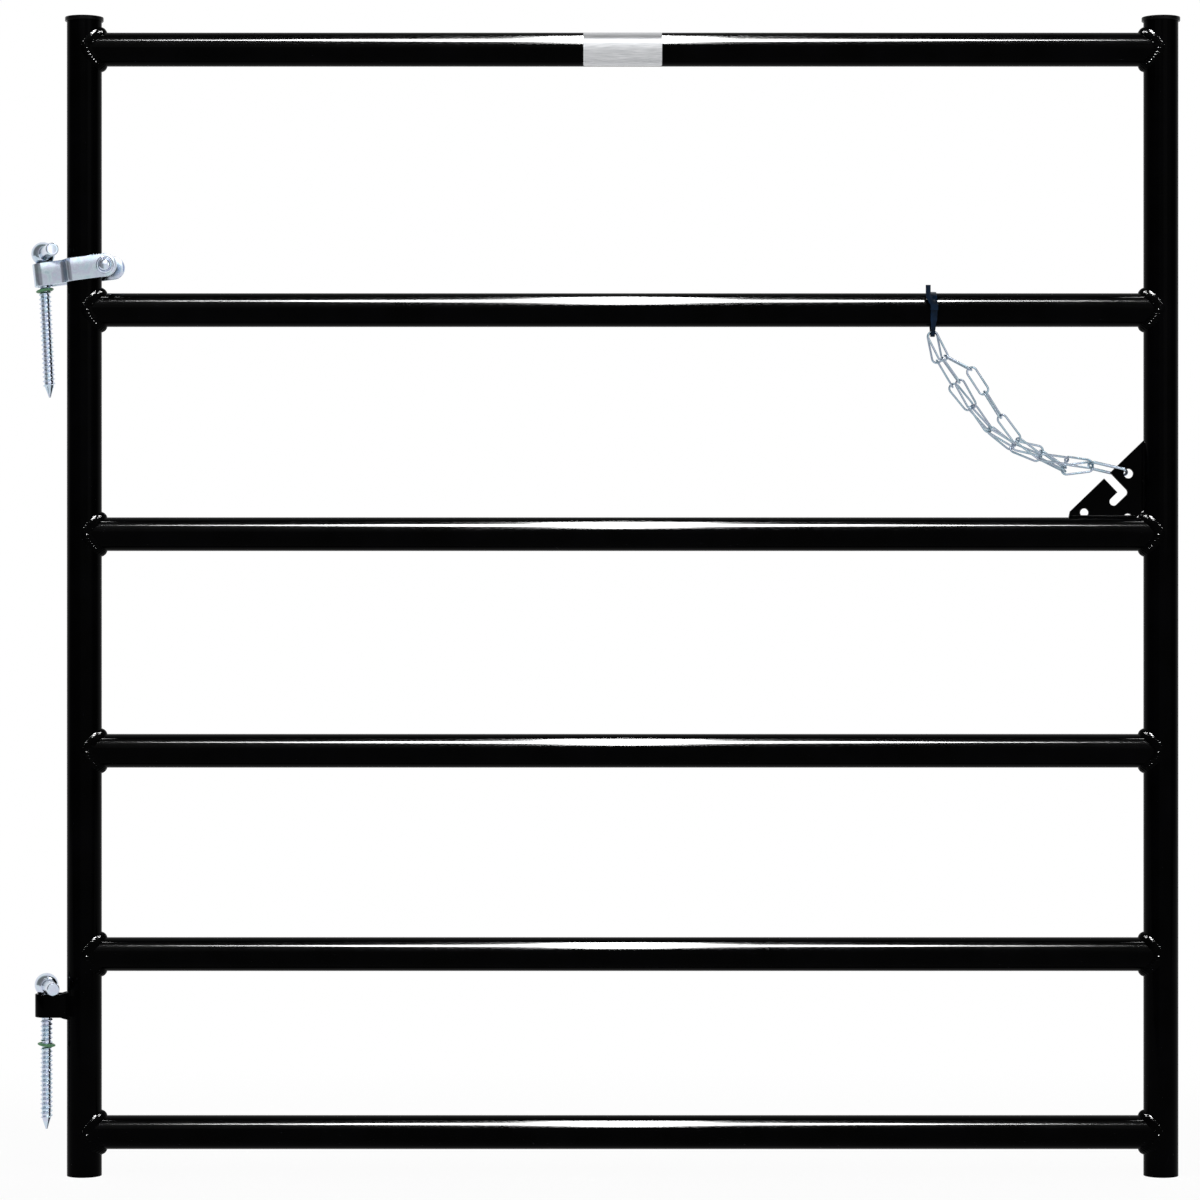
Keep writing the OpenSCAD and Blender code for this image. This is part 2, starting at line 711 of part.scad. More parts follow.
fold_dir = [cos(fold_slope), 0, sin(fold_slope)];
fold_up = [-sin(fold_slope), 0, cos(fold_slope)] * cos(fold_roll) - [0, sin(fold_roll), 0];
fold_start = end_nest + end_dir * fold_ease - end_side * pair_off;
fold_nest = fold_start - fold_dir * (pitch - link_loss);

// Headings of n links about their mean, drawn from a list of slopes
function ones(n) = [for (i = [1:n]) 1];
function slope_at(slopes, at) = lookup(at, [for (i = [0:len(slopes) - 1]) [i, slopes[i]]]);
function headings(slopes, n) = let (
    raw = [for (i = [0:n - 1]) slope_at(slopes, i * (len(slopes) - 1) / (n - 1))]
) raw - ones(n) * (raw * ones(n)) / n;

// Knots of links of length one: along the strand, down, and towards the viewer, there and back
function walk(turns, n, bow, ease) = [
    for (i = 0, p = [0, 0, 0]; i <= n;
        y = bow * cos(180 * (i + 1 / 2) / n), t = ease * (i < n ? turns[i] : 0),
        p = p + [cos(y) * cos(t), cos(y) * sin(t), sin(y)], i = i + 1) p
];
function settled(turns, n, bow, ratio, low, high, k) = let (mid = (low + high) / 2)
    k == 0 ? mid
    : norm(walk(turns, n, bow, mid)[n]) > ratio ? settled(turns, n, bow, ratio, mid, high, k - 1)
    : settled(turns, n, bow, ratio, low, mid, k - 1);

function face_on(d) = unit([0, 1, 0] - d * d[1]);
function rolled(d, a) = face_on(d) * cos(a) + cross(d, face_on(d)) * sin(a);

// Knots of n links from a to b, whose headings are eased until the strand just reaches
function hung_knots(a, b, n, slopes, bow) = let (
    u = unit(b - a),
    down = unit([u[2], 0, -u[0]]),
    front = -face_on(u),
    turns = headings(slopes, n),
    ease = settled(turns, n, bow, norm(b - a) / pitch, 0, ease_most_share, solve_steps),
    knots = walk(turns, n, bow, ease),
    c = unit([knots[n][0], knots[n][1], 0])
) [for (k = knots)
    a + pitch * (u * (k * c) + down * (k[1] * c[0] - k[0] * c[1]) + front * k[2])];

// A strand's knots once its end links point along the line that they begin
function strand(w0, w1, n, slopes, bow, back, d0, d1, k) = let (
    knots = hung_knots(w0 + d0 * (reach - back), w1 - d1 * reach, n, slopes, bow)
) k == 0 ? knots
    : strand(w0, w1, n, slopes, bow, back, unit(knots[1] - knots[0]), unit(knots[n] - knots[n - 1]), k - 1);

function count(w0, w1, spare, back) = ceil((norm(w1 - w0) + back - 2 * reach) / pitch + spare);
function hang(w0, w1, spare, slopes, bow, back) = let (d = unit(w1 - w0))
    strand(w0, w1, count(w0, w1, spare, back), slopes, bow, back, d, d, settle_steps);

a_start = first_nest - first_dir * fold_ease / 2 + first_up * pair_off;
b_start = first_nest - first_dir * fold_ease - first_up * pair_off;
b_end = fold_nest + fold_dir * fold_ease + fold_up * pair_off;
c_end = fold_nest - fold_up * pair_off;
knots_a = hang(a_start, end_nest + end_side * pair_off,
    spare_a_share, strand_a_slopes, strand_a_bow_angle, 0);
knots_b = hang(b_start, b_end, spare_bc_share, strand_b_slopes, strand_b_bow_angle, 0);
knots_c = hang(tie_point(1), c_end, spare_bc_share, strand_c_slopes, -strand_c_bow_angle, nip_reach);

module link(inside, width, wire) {
    half_w = (width - wire) / 2;
    straight = inside + wire - 2 * half_w;
    for (turn = [0, 180]) rotate(turn) {
        translate([straight / 2, 0, 0]) rotate(-90) rotate_extrude(angle = 180)
            translate([half_w, 0]) circle(d = wire);
        translate([-straight / 2, half_w, 0]) rotate([0, 90, 0]) cylinder(d = wire, h = straight);
    }
}

module place(a, b, normal) {
    d = unit(b - a);
    w = cross(normal, d);
    m = (a + b) / 2;
    multmatrix([
        [d[0], w[0], normal[0], m[0]],
        [d[1], w[1], normal[1], m[1]],
        [d[2], w[2], normal[2], m[2]],
        [0, 0, 0, 1]
    ]) children();
}

// Links of a strand. The roll steps a quarter turn a link, evened out to end as the next piece asks.
module strand_links(knots, roll_start, roll_end, twist) {
    n = len(knots) - 1;
    left = roll_end - roll_start - 90 * (n - 1);
    even = (left - 180 * round(left / 180)) / (n - 1);
    color(zinc) for (i = [0:n - 1]) {
        d = unit(knots[i + 1] - knots[i]);
        roll = roll_start + i * (90 + even) + twist * sin(180 * i / (n - 1));
        place(knots[i] - d * reach, knots[i + 1] + d * reach, rolled(d, roll)) link(link_len, link_w, wire_d);
    }
}

module chain_strand_a() {
    color(zinc) place(first_start, first_start + first_dir * link_c, [0, 1, 0])
        link(link_len, link_w, wire_d);
    strand_links(knots_a, 90, end_roll - 90, 0);
}

module chain_strand_b() { strand_links(knots_b, 90, fold_roll + 90, strand_b_twist_angle); }

module chain_strand_c() {
    color(zinc) place(fold_start - fold_dir * link_c, fold_start, rolled(fold_dir, fold_roll))
        link(link_len, link_w, wire_d);
    strand_links(knots_c, 0, fold_roll + 90, strand_c_twist_angle);
}

module chain_end_link() {
    color(zinc) place(end_left, end_right, rolled(end_dir, end_roll)) link(end_len, end_w, end_wire_d);
}

hinge_upright();
latch_upright();
rail_1();
rail_2();
rail_3();
rail_4();
rail_5();
rail_6();
hinge_cap();
latch_cap();
hinge_side_welds();
latch_side_welds();
latch_plate();
latch_plate_welds();
lower_eye();
lower_eye_welds();
hinge_strap();
strap_bolt();
strap_washer();
strap_nut();
upper_hook();
lower_hook();
upper_retainer();
lower_retainer();
chain_strand_a();
chain_strand_b();
chain_strand_c();
chain_end_link();
cable_tie();
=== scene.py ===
# %% [markdown]
# # A tube field gate
#
# The gate is a welded frame of round tube: two uprights, six rails, a slotted latch plate and
# an eye. On it hang a strap hinge, two screw hooks and a folded chain on a cable tie. The
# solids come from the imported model, which also says what moves with what. This lesson dresses
# them: it puts a finish on every solid that is right as it is, and replaces those that need
# finer shapes, such as weld ripples and screw threads, with surfaces worked out as arrays.

import json
import math

import bmesh
import bpy
import numpy as np
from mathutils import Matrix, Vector

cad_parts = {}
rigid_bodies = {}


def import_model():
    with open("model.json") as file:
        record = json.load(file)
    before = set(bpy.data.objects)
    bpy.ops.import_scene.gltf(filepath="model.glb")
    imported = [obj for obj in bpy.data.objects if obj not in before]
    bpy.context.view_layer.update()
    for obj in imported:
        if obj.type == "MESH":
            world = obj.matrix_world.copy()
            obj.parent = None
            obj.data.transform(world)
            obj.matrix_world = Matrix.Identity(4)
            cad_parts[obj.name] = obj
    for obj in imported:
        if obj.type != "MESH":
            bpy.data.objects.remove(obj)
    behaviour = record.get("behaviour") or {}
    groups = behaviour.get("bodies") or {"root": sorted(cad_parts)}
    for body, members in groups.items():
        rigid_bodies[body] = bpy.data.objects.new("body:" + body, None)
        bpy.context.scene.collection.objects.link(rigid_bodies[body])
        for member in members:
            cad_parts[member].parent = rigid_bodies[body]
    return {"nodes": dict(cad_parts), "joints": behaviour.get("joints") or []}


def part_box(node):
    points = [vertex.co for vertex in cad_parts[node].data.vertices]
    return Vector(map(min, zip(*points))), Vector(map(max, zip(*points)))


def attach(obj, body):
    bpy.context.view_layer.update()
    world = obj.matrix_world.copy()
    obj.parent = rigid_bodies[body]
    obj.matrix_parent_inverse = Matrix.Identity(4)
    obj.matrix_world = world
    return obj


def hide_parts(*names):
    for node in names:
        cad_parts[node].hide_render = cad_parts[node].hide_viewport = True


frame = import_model()
nodes = frame["nodes"]
joints = {joint["name"]: joint for joint in frame["joints"]}
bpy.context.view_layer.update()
MM = 0.001

# %% [markdown]
# ## The gate's own sizes
#
# These are the real sizes that the surfaces below share, in millimetres and degrees. Places
# come from the loaded solids, so that nothing has to be fitted by eye.

# %% Sizes and places
UPRIGHT_R, RAIL_R = 19.05, 18.5
STRIP_W, STRIP_T, EYE_R = 25.4, 3.2, 9.2
STRAP_TILT, STRAP_SWIVEL, HOOK_LEAN = 6.9, 5.0, 2.7
BALL_R, ROD_R, ROOT_R = 13.0, 7.0, 5.2
FIT = 0.3  # running clearance of every loose piece
x_axis, y_axis, z_axis = np.eye(3)


def span(node):
    """Lowest and highest corners of a solid's box, in millimetres."""
    low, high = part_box(node)
    return np.array(low) / MM, np.array(high) / MM


def middle(node):
    """Middle of a solid's box, in millimetres."""
    low, high = span(node)
    return (low + high) / 2


HINGE_X, LATCH_X = middle("hinge_upright")[0], middle("latch_upright")[0]
RAIL_Z = [middle(f"rail_{i}")[2] for i in range(1, 7)]
FOOT_Z, TOP_Z = (corner[2] for corner in span("hinge_upright"))
print("foot at", round(FOOT_Z, 1), "top at", round(TOP_Z, 1), "rails at", np.round(RAIL_Z, 1))

# %% [markdown]
# ## Camera
#
# The photograph looks square on at the gate from a few metres away. Its upright edges stay
# parallel, so the camera is level, and it stands at the middle of the gate's height: the upper
# hook's pintle is seen a little from below and the lower one's a little from above. One pixel
# of the 1200 pixel frame covers 1.097 mm in the plane of the tubes.

# %% Camera
PIXEL_MM, FRAME_PX = 1.097, 1200
CAMERA_FAR, CAMERA_UP = 4000.0, 640.0
HINGE_PX, FOOT_PX = 84.38, 1175.2
SENSOR_MM = 36.0

frame_mm = PIXEL_MM * FRAME_PX
centre_x = HINGE_X + (FRAME_PX / 2 - HINGE_PX) * PIXEL_MM
centre_z = FOOT_Z + (FOOT_PX - FRAME_PX / 2) * PIXEL_MM
camera_data = bpy.data.cameras.new("camera")
camera_data.sensor_width = SENSOR_MM
camera_data.lens = SENSOR_MM * CAMERA_FAR / frame_mm
camera_data.shift_y = (centre_z - FOOT_Z - CAMERA_UP) / frame_mm
camera = bpy.data.objects.new("camera", camera_data)
camera.location = (centre_x * MM, -CAMERA_FAR * MM, (FOOT_Z + CAMERA_UP) * MM)
camera.rotation_euler = (math.pi / 2, 0, 0)
scene = bpy.context.scene
scene.collection.objects.link(camera)
scene.camera = camera
print("lens", round(camera_data.lens, 1), "mm, shift", round(camera_data.shift_y, 3))

# %% [markdown]
# ## Finishes
#
# Colours are written as sRGB hex values and turned to linear ones here, because shaders work
# in linear light. One small function adds a node, sets it and wires it, so that every finish
# below reads as a list of what it is made of.


# %% Colour and node helpers
def linear(hexadecimal):
    """Linear RGBA of an sRGB hex colour: each channel through the sRGB curve."""
    raw = np.array([int(hexadecimal[i:i + 2], 16) for i in (1, 3, 5)]) / 255
    light = np.where(raw <= 0.04045, raw / 12.92, ((raw + 0.055) / 1.055) ** 2.4)
    return (*light, 1.0)


def add(tree, kind, settings=(), **inputs):
    """Adds one node. A tuple (node, socket) is wired; anything else is the socket's value."""
    node = tree.nodes.new(kind)
    for key, value in dict(settings).items():
        setattr(node, key, value)
    for key, value in inputs.items():
        name = key.replace("_", " ")
        socket = node.inputs[int(name[1:])] if name[1:].isdigit() else node.inputs[name]
        if isinstance(value, tuple) and isinstance(value[0], bpy.types.Node):
            tree.links.new(value[0].outputs[value[1]], socket)
        else:
            socket.default_value = value
    return node


def finish(name):
    """A new material with its tree, its Principled shader and Object coordinates."""
    material = bpy.data.materials.new(name)
    material.use_nodes = True
    tree = material.node_tree
    shader = tree.nodes["Principled BSDF"]
    return material, tree, shader, add(tree, "ShaderNodeTexCoord")


def per_mm(size):
    """Texture scale for Object coordinates in metres: one cell every so many millimetres."""
    return 1000.0 / size


def ramp(tree, factor, low, high, start=0.0, stop=1.0):
    """Colour between two hex colours as a factor runs from start to stop."""
    node = add(tree, "ShaderNodeValToRGB", Fac=factor)
    ends = node.color_ramp.elements
    ends[0].position, ends[0].color = start, linear(low)
    ends[1].position, ends[1].color = stop, linear(high)
    return node


def vary(tree, factor, low, high):
    """Number between low and high as a factor runs from 0 to 1."""
    return add(tree, "ShaderNodeMapRange", Value=factor, To_Min=low, To_Max=high)


print("helpers ready")

# %% [markdown]
# ### Black powder coat
#
# The frame is powder coated: a black polyester melted onto the tube. It is glossy, almost
# without colour, and its surface has the faint waviness of orange peel, a few millimetres
# from crest to crest, which breaks up the edge of a reflection.

# %% Black powder coat
PEEL_MM, DUST_MM = 2.5, 40
powder_coat, tree, shader, place = finish("black_powder_coat")
spot = (place, "Object")
peel = add(tree, "ShaderNodeTexNoise", Vector=spot, Scale=per_mm(PEEL_MM), Detail=2.0)
dust = add(tree, "ShaderNodeTexNoise", Vector=spot, Scale=per_mm(DUST_MM), Detail=4.0)
tone = ramp(tree, (dust, "Fac"), "#010101", "#030304", 0.35, 0.7)
gloss = vary(tree, (dust, "Fac"), 0.07, 0.11)
bump = add(tree, "ShaderNodeBump", Height=(peel, "Fac"), Strength=0.012, Distance=0.0002)
tree.links.new(tone.outputs["Color"], shader.inputs["Base Color"])
tree.links.new(gloss.outputs["Result"], shader.inputs["Roughness"])
tree.links.new(bump.outputs["Normal"], shader.inputs["Normal"])
shader.inputs["IOR"].default_value = 1.45
shader.inputs["Specular IOR Level"].default_value = 0.015
print("powder coat ready")

# %% [markdown]
# ### Zinc plate
#
# The hooks and the strap are electroplated with zinc and passivated. The metal is silvery with
# a blue cast, and the passivation film is thin enough to show interference colours, so patches
# drift towards violet and towards green. The chain is plated by the barrel load, where links
# tumble against each other, so its zinc is duller and a shade darker.

# %% Zinc plate
FILM_MM, GRAIN_MM, FILM_FROM, FILM_TO = 14, 1.2, 0.30, 0.70
HOOK_TINTS = ["#b9cbda", "#c6d6e3", "#c9cee0", "#cddbe5", "#bbd1db"]
CHAIN_TINTS = ["#94aab9", "#a5bac6", "#aab3c4", "#aec1cb"]


def zinc_plate(name, tints, rough_low, rough_high):
    """Plated metal: a film that drifts through the tints given, a fine grain in its gloss."""
    material, tree, shader, place = finish(name)
    spot = (place, "Object")
    film = add(tree, "ShaderNodeTexNoise", Vector=spot, Scale=per_mm(FILM_MM), Detail=2.0)
    grain = add(tree, "ShaderNodeTexNoise", Vector=spot, Scale=per_mm(GRAIN_MM), Detail=4.0)
    tint = ramp(tree, (film, "Fac"), tints[0], tints[-1], FILM_FROM, FILM_TO)
    shares = np.linspace(FILM_FROM, FILM_TO, len(tints))
    for share, colour in zip(shares[1:-1], tints[1:-1]):
        tint.color_ramp.elements.new(float(share)).color = linear(colour)
    rough = vary(tree, (grain, "Fac"), rough_low, rough_high)
    bump = add(tree, "ShaderNodeBump", Height=(grain, "Fac"), Strength=0.06, Distance=0.0001)
    tree.links.new(tint.outputs["Color"], shader.inputs["Base Color"])
    tree.links.new(rough.outputs["Result"], shader.inputs["Roughness"])
    tree.links.new(bump.outputs["Normal"], shader.inputs["Normal"])
    shader.inputs["Metallic"].default_value = 1.0
    return material


zinc = zinc_plate("bright_zinc_plate", HOOK_TINTS, 0.14, 0.22)
chain_zinc = zinc_plate("barrel_zinc_plate", CHAIN_TINTS, 0.17, 0.27)
print("zinc ready")

# %% [markdown]
# ### The plastics and the foil
#
# The retainers are moulded in green polyethylene, the tie in nylon that is dyed a blue black,
# and the caps in black polyethylene. All three are smooth from the mould with a faint grain.
# The label is a silver polyester foil, brushed along its length and left bare.

# %% Plastics and foil
CLOUD_MM, BRUSH_MM, BRUSH_ALONG = 9, 0.8, 0.05


def moulded(name, low, high, rough_low, rough_high, grain_mm, level):
    """Moulded plastic: a colour that drifts a little, a fine mould grain, a level of shine."""
    material, tree, shader, place = finish(name)
    spot = (place, "Object")
    cloud = add(tree, "ShaderNodeTexNoise", Vector=spot, Scale=per_mm(CLOUD_MM), Detail=3.0)
    grain = add(tree, "ShaderNodeTexNoise", Vector=spot, Scale=per_mm(grain_mm))
    tone = ramp(tree, (cloud, "Fac"), low, high, 0.3, 0.7)
    rough = vary(tree, (grain, "Fac"), rough_low, rough_high)
    bump = add(tree, "ShaderNodeBump", Height=(grain, "Fac"), Strength=0.08, Distance=0.0001)
    tree.links.new(tone.outputs["Color"], shader.inputs["Base Color"])
    tree.links.new(rough.outputs["Result"], shader.inputs["Roughness"])
    tree.links.new(bump.outputs["Normal"], shader.inputs["Normal"])
    shader.inputs["IOR"].default_value = 1.5
    shader.inputs["Specular IOR Level"].default_value = level
    return material


green_plastic = moulded("green_polyethylene", "#4a7f57", "#669a70", 0.40, 0.55, 0.8, 0.4)
tie_nylon = moulded("blue_black_nylon", "#041221", "#0a223b", 0.18, 0.28, 0.6, 0.08)
cap_plastic = moulded("black_polyethylene", "#030304", "#070708", 0.22, 0.34, 1.0, 0.06)

foil, tree, shader, place = finish("silver_polyester_foil")
stretch = (BRUSH_ALONG, 1.0, 1.0)
along = add(tree, "ShaderNodeMapping", Vector=(place, "Object"), Scale=stretch)
brush = add(tree, "ShaderNodeTexNoise", Vector=(along, "Vector"), Scale=per_mm(BRUSH_MM),
            Detail=3.0)
tone = ramp(tree, (brush, "Fac"), "#b4b6b9", "#d9dadc", 0.3, 0.7)
rough = vary(tree, (brush, "Fac"), 0.30, 0.46)
tree.links.new(tone.outputs["Color"], shader.inputs["Base Color"])
tree.links.new(rough.outputs["Result"], shader.inputs["Roughness"])
shader.inputs["Metallic"].default_value = 0.85
print("plastics and foil ready")

# %% [markdown]
# ## From arrays to meshes
#
# A surface is a grid of points, rows by columns, and a quad joins each point to its next row
# and next column. A ring wraps round to its first row or column. Where a shape closes in a
# point, a whole row lies on that point, and merging doubles makes the fan of triangles.

# %% Grids and pieces
MERGE_M, SHARP = 2e-6, 35


def quads(rows, columns, ring_rows, ring_columns):
    """Corner numbers of every quad: (i, j), (i+1, j), (i+1, j+1), (i, j+1)."""
    i = np.arange(rows if ring_rows else rows - 1)[:, None]
    j = np.arange(columns if ring_columns else columns - 1)[None, :]
    down, right = (i + 1) % rows, (j + 1) % columns
    corners = [i * columns + j, down * columns + j, down * columns + right, i * columns + right]
    return np.stack(np.broadcast_arrays(*corners), -1).reshape(-1, 4)


def piece(name, patches, material, body, stands_for=(), sharp=SHARP):
    """One object from patches (grid in mm, rows wrap, columns wrap), closed, turned outwards."""
    points, faces, count = [], [], 0
    for grid, ring_rows, ring_columns in patches:
        points.append(grid.reshape(-1, 3) * MM)
        faces.append(quads(grid.shape[0], grid.shape[1], ring_rows, ring_columns) + count)
        count += grid.shape[0] * grid.shape[1]
    mesh = bpy.data.meshes.new(name)
    mesh.from_pydata(np.concatenate(points), [], np.concatenate(faces).tolist())
    work = bmesh.new()
    work.from_mesh(mesh)
    bmesh.ops.remove_doubles(work, verts=work.verts, dist=MERGE_M)
    bmesh.ops.recalc_face_normals(work, faces=work.faces)
    work.to_mesh(mesh)
    work.free()
    mesh.polygons.foreach_set("use_smooth", np.ones(len(mesh.polygons), bool))
    mesh.set_sharp_from_angle(angle=math.radians(sharp))
    mesh.materials.append(material)
    made = bpy.data.objects.new(name, mesh)
    scene.collection.objects.link(made)
    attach(made, body)
    if stands_for:
        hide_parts(*stands_for)
    print(name, len(mesh.polygons), "faces")
    return made


print("pieces ready")

# %% [markdown]
# A few moves make every grid: a profile swept along a path or turned about an axis, a round
# corner drawn as a Bezier curve, a grid turned and put in its place.


# %% Moves that make grids
def circle(angle):
    """Points (cos, sin) of the unit circle at the angles given."""
    return np.stack([np.cos(angle), np.sin(angle)], -1)


def around(steps):
    """Angles of one whole turn, without the last one, which is the first again."""
    return np.linspace(0, math.tau, steps, endpoint=False)


def bezier(t, a, k, b):
    """Curve from a to b that leaves and arrives along k: (1-t)^2 a + 2t(1-t) k + t^2 b."""
    return (1 - t) ** 2 * a + 2 * t * (1 - t) * k + t ** 2 * b


def sweep(path, across, up, profile):
    """Profile carried along a path: path + across * x + up * y for every profile point."""
    profile = np.broadcast_to(profile, (len(path), *profile.shape[-2:]))
    return path[:, None] + across[:, None] * profile[..., :1] + up[:, None] * profile[..., 1:]


def capped(grid):
    """The grid with both ends closed by a row that lies on the end's middle."""
    first, last = grid[:1].mean(1, keepdims=True), grid[-1:].mean(1, keepdims=True)
    shape = (1, grid.shape[1], 3)
    return np.concatenate([np.broadcast_to(first, shape), grid, np.broadcast_to(last, shape)])


def revolve(profile, steps):
    """Profile points (radius, height) turned about Z, as a grid of heights by turns."""
    turn = around(steps)
    r, z = profile[:, :1], profile[:, 1:]
    return np.stack([r * np.cos(turn), r * np.sin(turn), z + 0 * turn], -1)


def rounded_profile(points, radius, steps=5):
    """A polyline in (radius, height) with each inner corner rounded by a small Bezier."""
    points = np.array(points, float)
    rows = [points[:1]]
    t = np.linspace(0, 1, steps)[:, None]
    for before, corner, after in zip(points[:-2], points[1:-1], points[2:]):
        ends = []
        for other in (before, after):
            far = np.linalg.norm(other - corner)
            ends.append(corner + (other - corner) / far * min(radius, far / 2))
        rows.append(bezier(t, ends[0], corner, ends[1]))
    rows.append(points[-1:])
    return np.concatenate(rows)


def rounded_bar(width, thick, radius, corner_steps=4):
    """Rounded rectangle as points (across the thickness, along the width)."""
    corner = circle(np.linspace(0, np.pi / 2, corner_steps)) * radius
    inner = np.array([thick / 2 - radius, width / 2 - radius])
    parts = []
    for signs in ((1, 1), (-1, 1), (-1, -1), (1, -1)):
        part = corner if signs[0] * signs[1] > 0 else corner[::-1]
        parts.append((part + inner) * signs)
    return np.concatenate(parts)


def turned(grid, matrix, origin):
    """The grid turned by a matrix and moved to an origin."""
    return grid @ np.asarray(matrix).T + np.asarray(origin)


def about_y(angle):
    """Matrix of a turn about Y, in degrees."""
    c, s = math.cos(math.radians(angle)), math.sin(math.radians(angle))
    return np.array([[c, 0, s], [0, 1, 0], [-s, 0, c]])


def about_z(angle):
    """Matrix of a turn about Z, in degrees."""
    c, s = math.cos(math.radians(angle)), math.sin(math.radians(angle))
    return np.array([[c, -s, 0], [s, c, 0], [0, 0, 1]])


print("moves ready")

# %% [markdown]
# ## Tubes, plate, chain and washer
#
# These solids are right as they are, so they keep their shape and only take a finish.

# %% Finishes on the solids
TUBES = [f"rail_{i}" for i in range(1, 7)] + ["hinge_upright", "latch_upright"]
CHAIN = ["chain_strand_a", "chain_strand_b", "chain_strand_c", "chain_end_link"]
kept = ((powder_coat, [*TUBES, "latch_plate"]), (chain_zinc, CHAIN), (zinc, ["strap_washer"]))
for material, names in kept:
    for name in names:
        nodes[name].data.materials.clear()
        nodes[name].data.materials.append(material)
    print(material.name, "on", len(names), "solids")

# %% [markdown]
# ## Weld beads
#
# A fillet weld lies in the corner of two surfaces. Each time the welder's hand moves on, the
# pool freezes in a crescent, and these overlap like a row of fallen coins. A bead is three
# lines that run together: the root in the corner and a toe on each surface. Between the toes
# the face bulges in a parabola by the crown, and the ripple adds a tooth whose phase runs
# ahead in the middle, which is what draws the crescents.

# %% A rippled bead
BEAD_SIDES, RIPPLE_RISE, RIPPLE_BOW, NO_LENGTH = 11, 0.85, 0.45, 1e-6


def bead(root, toe_a, toe_b, crown, pitch, ends):
    """Grid of a bead: a face from toe to toe, then the root. Ends is the length of its fade.

    Face = (1-t) a + t b + outward * arch * (crown + rise * (1 - saw^2)), arch = 4t(1-t).
    Saw is the fraction of s / pitch + bow * arch. A bead without ends is a closed ring."""
    t = np.linspace(0, 1, BEAD_SIDES)[None, :, None]
    out = (toe_a + toe_b) / 2 - root
    out = out / np.maximum(np.linalg.norm(out, axis=1, keepdims=True), NO_LENGTH)
    last = root[-1:] if ends else root[:1]
    step = np.linalg.norm(np.diff(root, axis=0, append=last), axis=1)
    run = np.concatenate([[0], np.cumsum(step)[:-1]])
    total = step.sum()
    waves = max(1, round(total / pitch))
    arch = 4 * t * (1 - t)
    phase = (run / total * waves)[:, None, None] + RIPPLE_BOW * arch
    saw = phase - np.floor(phase)
    lift = np.asarray(crown).reshape(-1, 1, 1) + RIPPLE_RISE * (1 - saw ** 2)
    face = (1 - t) * toe_a[:, None] + t * toe_b[:, None] + out[:, None] * arch * lift
    grid = np.concatenate([face, root[:, None]], 1)
    if ends:
        fade = np.sqrt(np.clip(np.minimum(run, total - run) / ends, 0, 1))[:, None, None]
        grid = root[:, None] + (grid - root[:, None]) * fade
    return grid


print("bead ready")

# %% [markdown]
# ### Round the rail ends
#
# The rail is coped to the upright, so its bead follows a saddle: the curve where two round
# tubes cross. One toe runs out along the rail. The other is walked out over the upright, which
# keeps it on the curved flank where a straight step would leave the metal.

# %% Rail end beads
WELD_LEG, WELD_CROWN, CROWN_LEFT, WELD_SINK, RAIL_RIPPLE = 6.2, 1.3, 0.3, 0.08, 3.2
BEAD_STEPS = 440


def saddle(turn, leg):
    """Points of the saddle, walked out over the upright by leg: angle, then height."""
    small, big = RAIL_R - WELD_SINK, UPRIGHT_R - WELD_SINK
    angle = np.arcsin(small * np.cos(turn) / big) + leg * np.cos(turn) / big
    return np.concatenate([big * circle(angle), (small + leg) * np.sin(turn)[:, None]], 1)


def rail_beads(x, side):
    """Beads of all six rails on one upright; side is 1 towards +X and -1 towards -X."""
    turn = around(BEAD_STEPS)
    root = saddle(turn, 0.0)
    crown = WELD_CROWN * (CROWN_LEFT + (1 - CROWN_LEFT) * np.cos(turn) ** 2)
    grid = bead(root, saddle(turn, WELD_LEG), root + WELD_LEG * x_axis, crown, RAIL_RIPPLE, 0)
    return [(grid * [side, 1, 1] + [x, 0, z], True, True) for z in RAIL_Z]


piece("hinge_side_beads", rail_beads(HINGE_X, 1), powder_coat, "frame",
      ["hinge_side_welds"])
piece("latch_side_beads", rail_beads(LATCH_X, -1), powder_coat, "frame",
      ["latch_side_welds"])

# %% [markdown]
# ### Along the plate
#
# The plate stands edge-on on the crest of its rail and against the flank of the upright, with
# a small bead on either face.

# %% Plate beads
PLATE_T, PLATE_RISE, PLATE_RUN, PLATE_CLIP = 3.4, 84.0, 82.0, 7.3
PLATE_LEG, PLATE_CROWN, PLATE_FADE = 2.5, 0.3, 3.0
SMALL_RIPPLE, SMALL_STEPS = 2.2, 220


def edge_bead(low, high, along, away, tube_r, axis_at, side):
    """Bead on one face of the plate where its edge meets a tube: root, toe up, toe round."""
    s = np.linspace(low, high, SMALL_STEPS)[:, None]
    near = PLATE_T / 2 - WELD_SINK
    lines = []
    for y, up in ((near, 0), (near, PLATE_LEG), (near + PLATE_LEG, 0)):
        drop = math.sqrt(tube_r ** 2 - y ** 2) - WELD_SINK
        lines.append(axis_at + s * along + side * y * y_axis + away * (drop + up))
    return bead(*lines, PLATE_CROWN, SMALL_RIPPLE, PLATE_FADE)


rail_line = np.array([LATCH_X - UPRIGHT_R, 0, RAIL_Z[2]])
upright_line = np.array([LATCH_X, 0, RAIL_Z[2] + RAIL_R])
patches = []
for side in (-1, 1):
    flat = edge_bead(-PLATE_RUN, -PLATE_CLIP, x_axis, z_axis, RAIL_R, rail_line, side)
    tall = edge_bead(PLATE_CLIP, PLATE_RISE, z_axis, -x_axis, UPRIGHT_R, upright_line, side)
    patches += [(flat, False, True), (tall, False, True)]
piece("plate_beads", patches, powder_coat, "frame", ["latch_plate_welds"])

# %% [markdown]
# ### Beside the eye
#
# The eye's strip has a bead up each outer side, and a short spread of weld on its top and
# bottom edges.

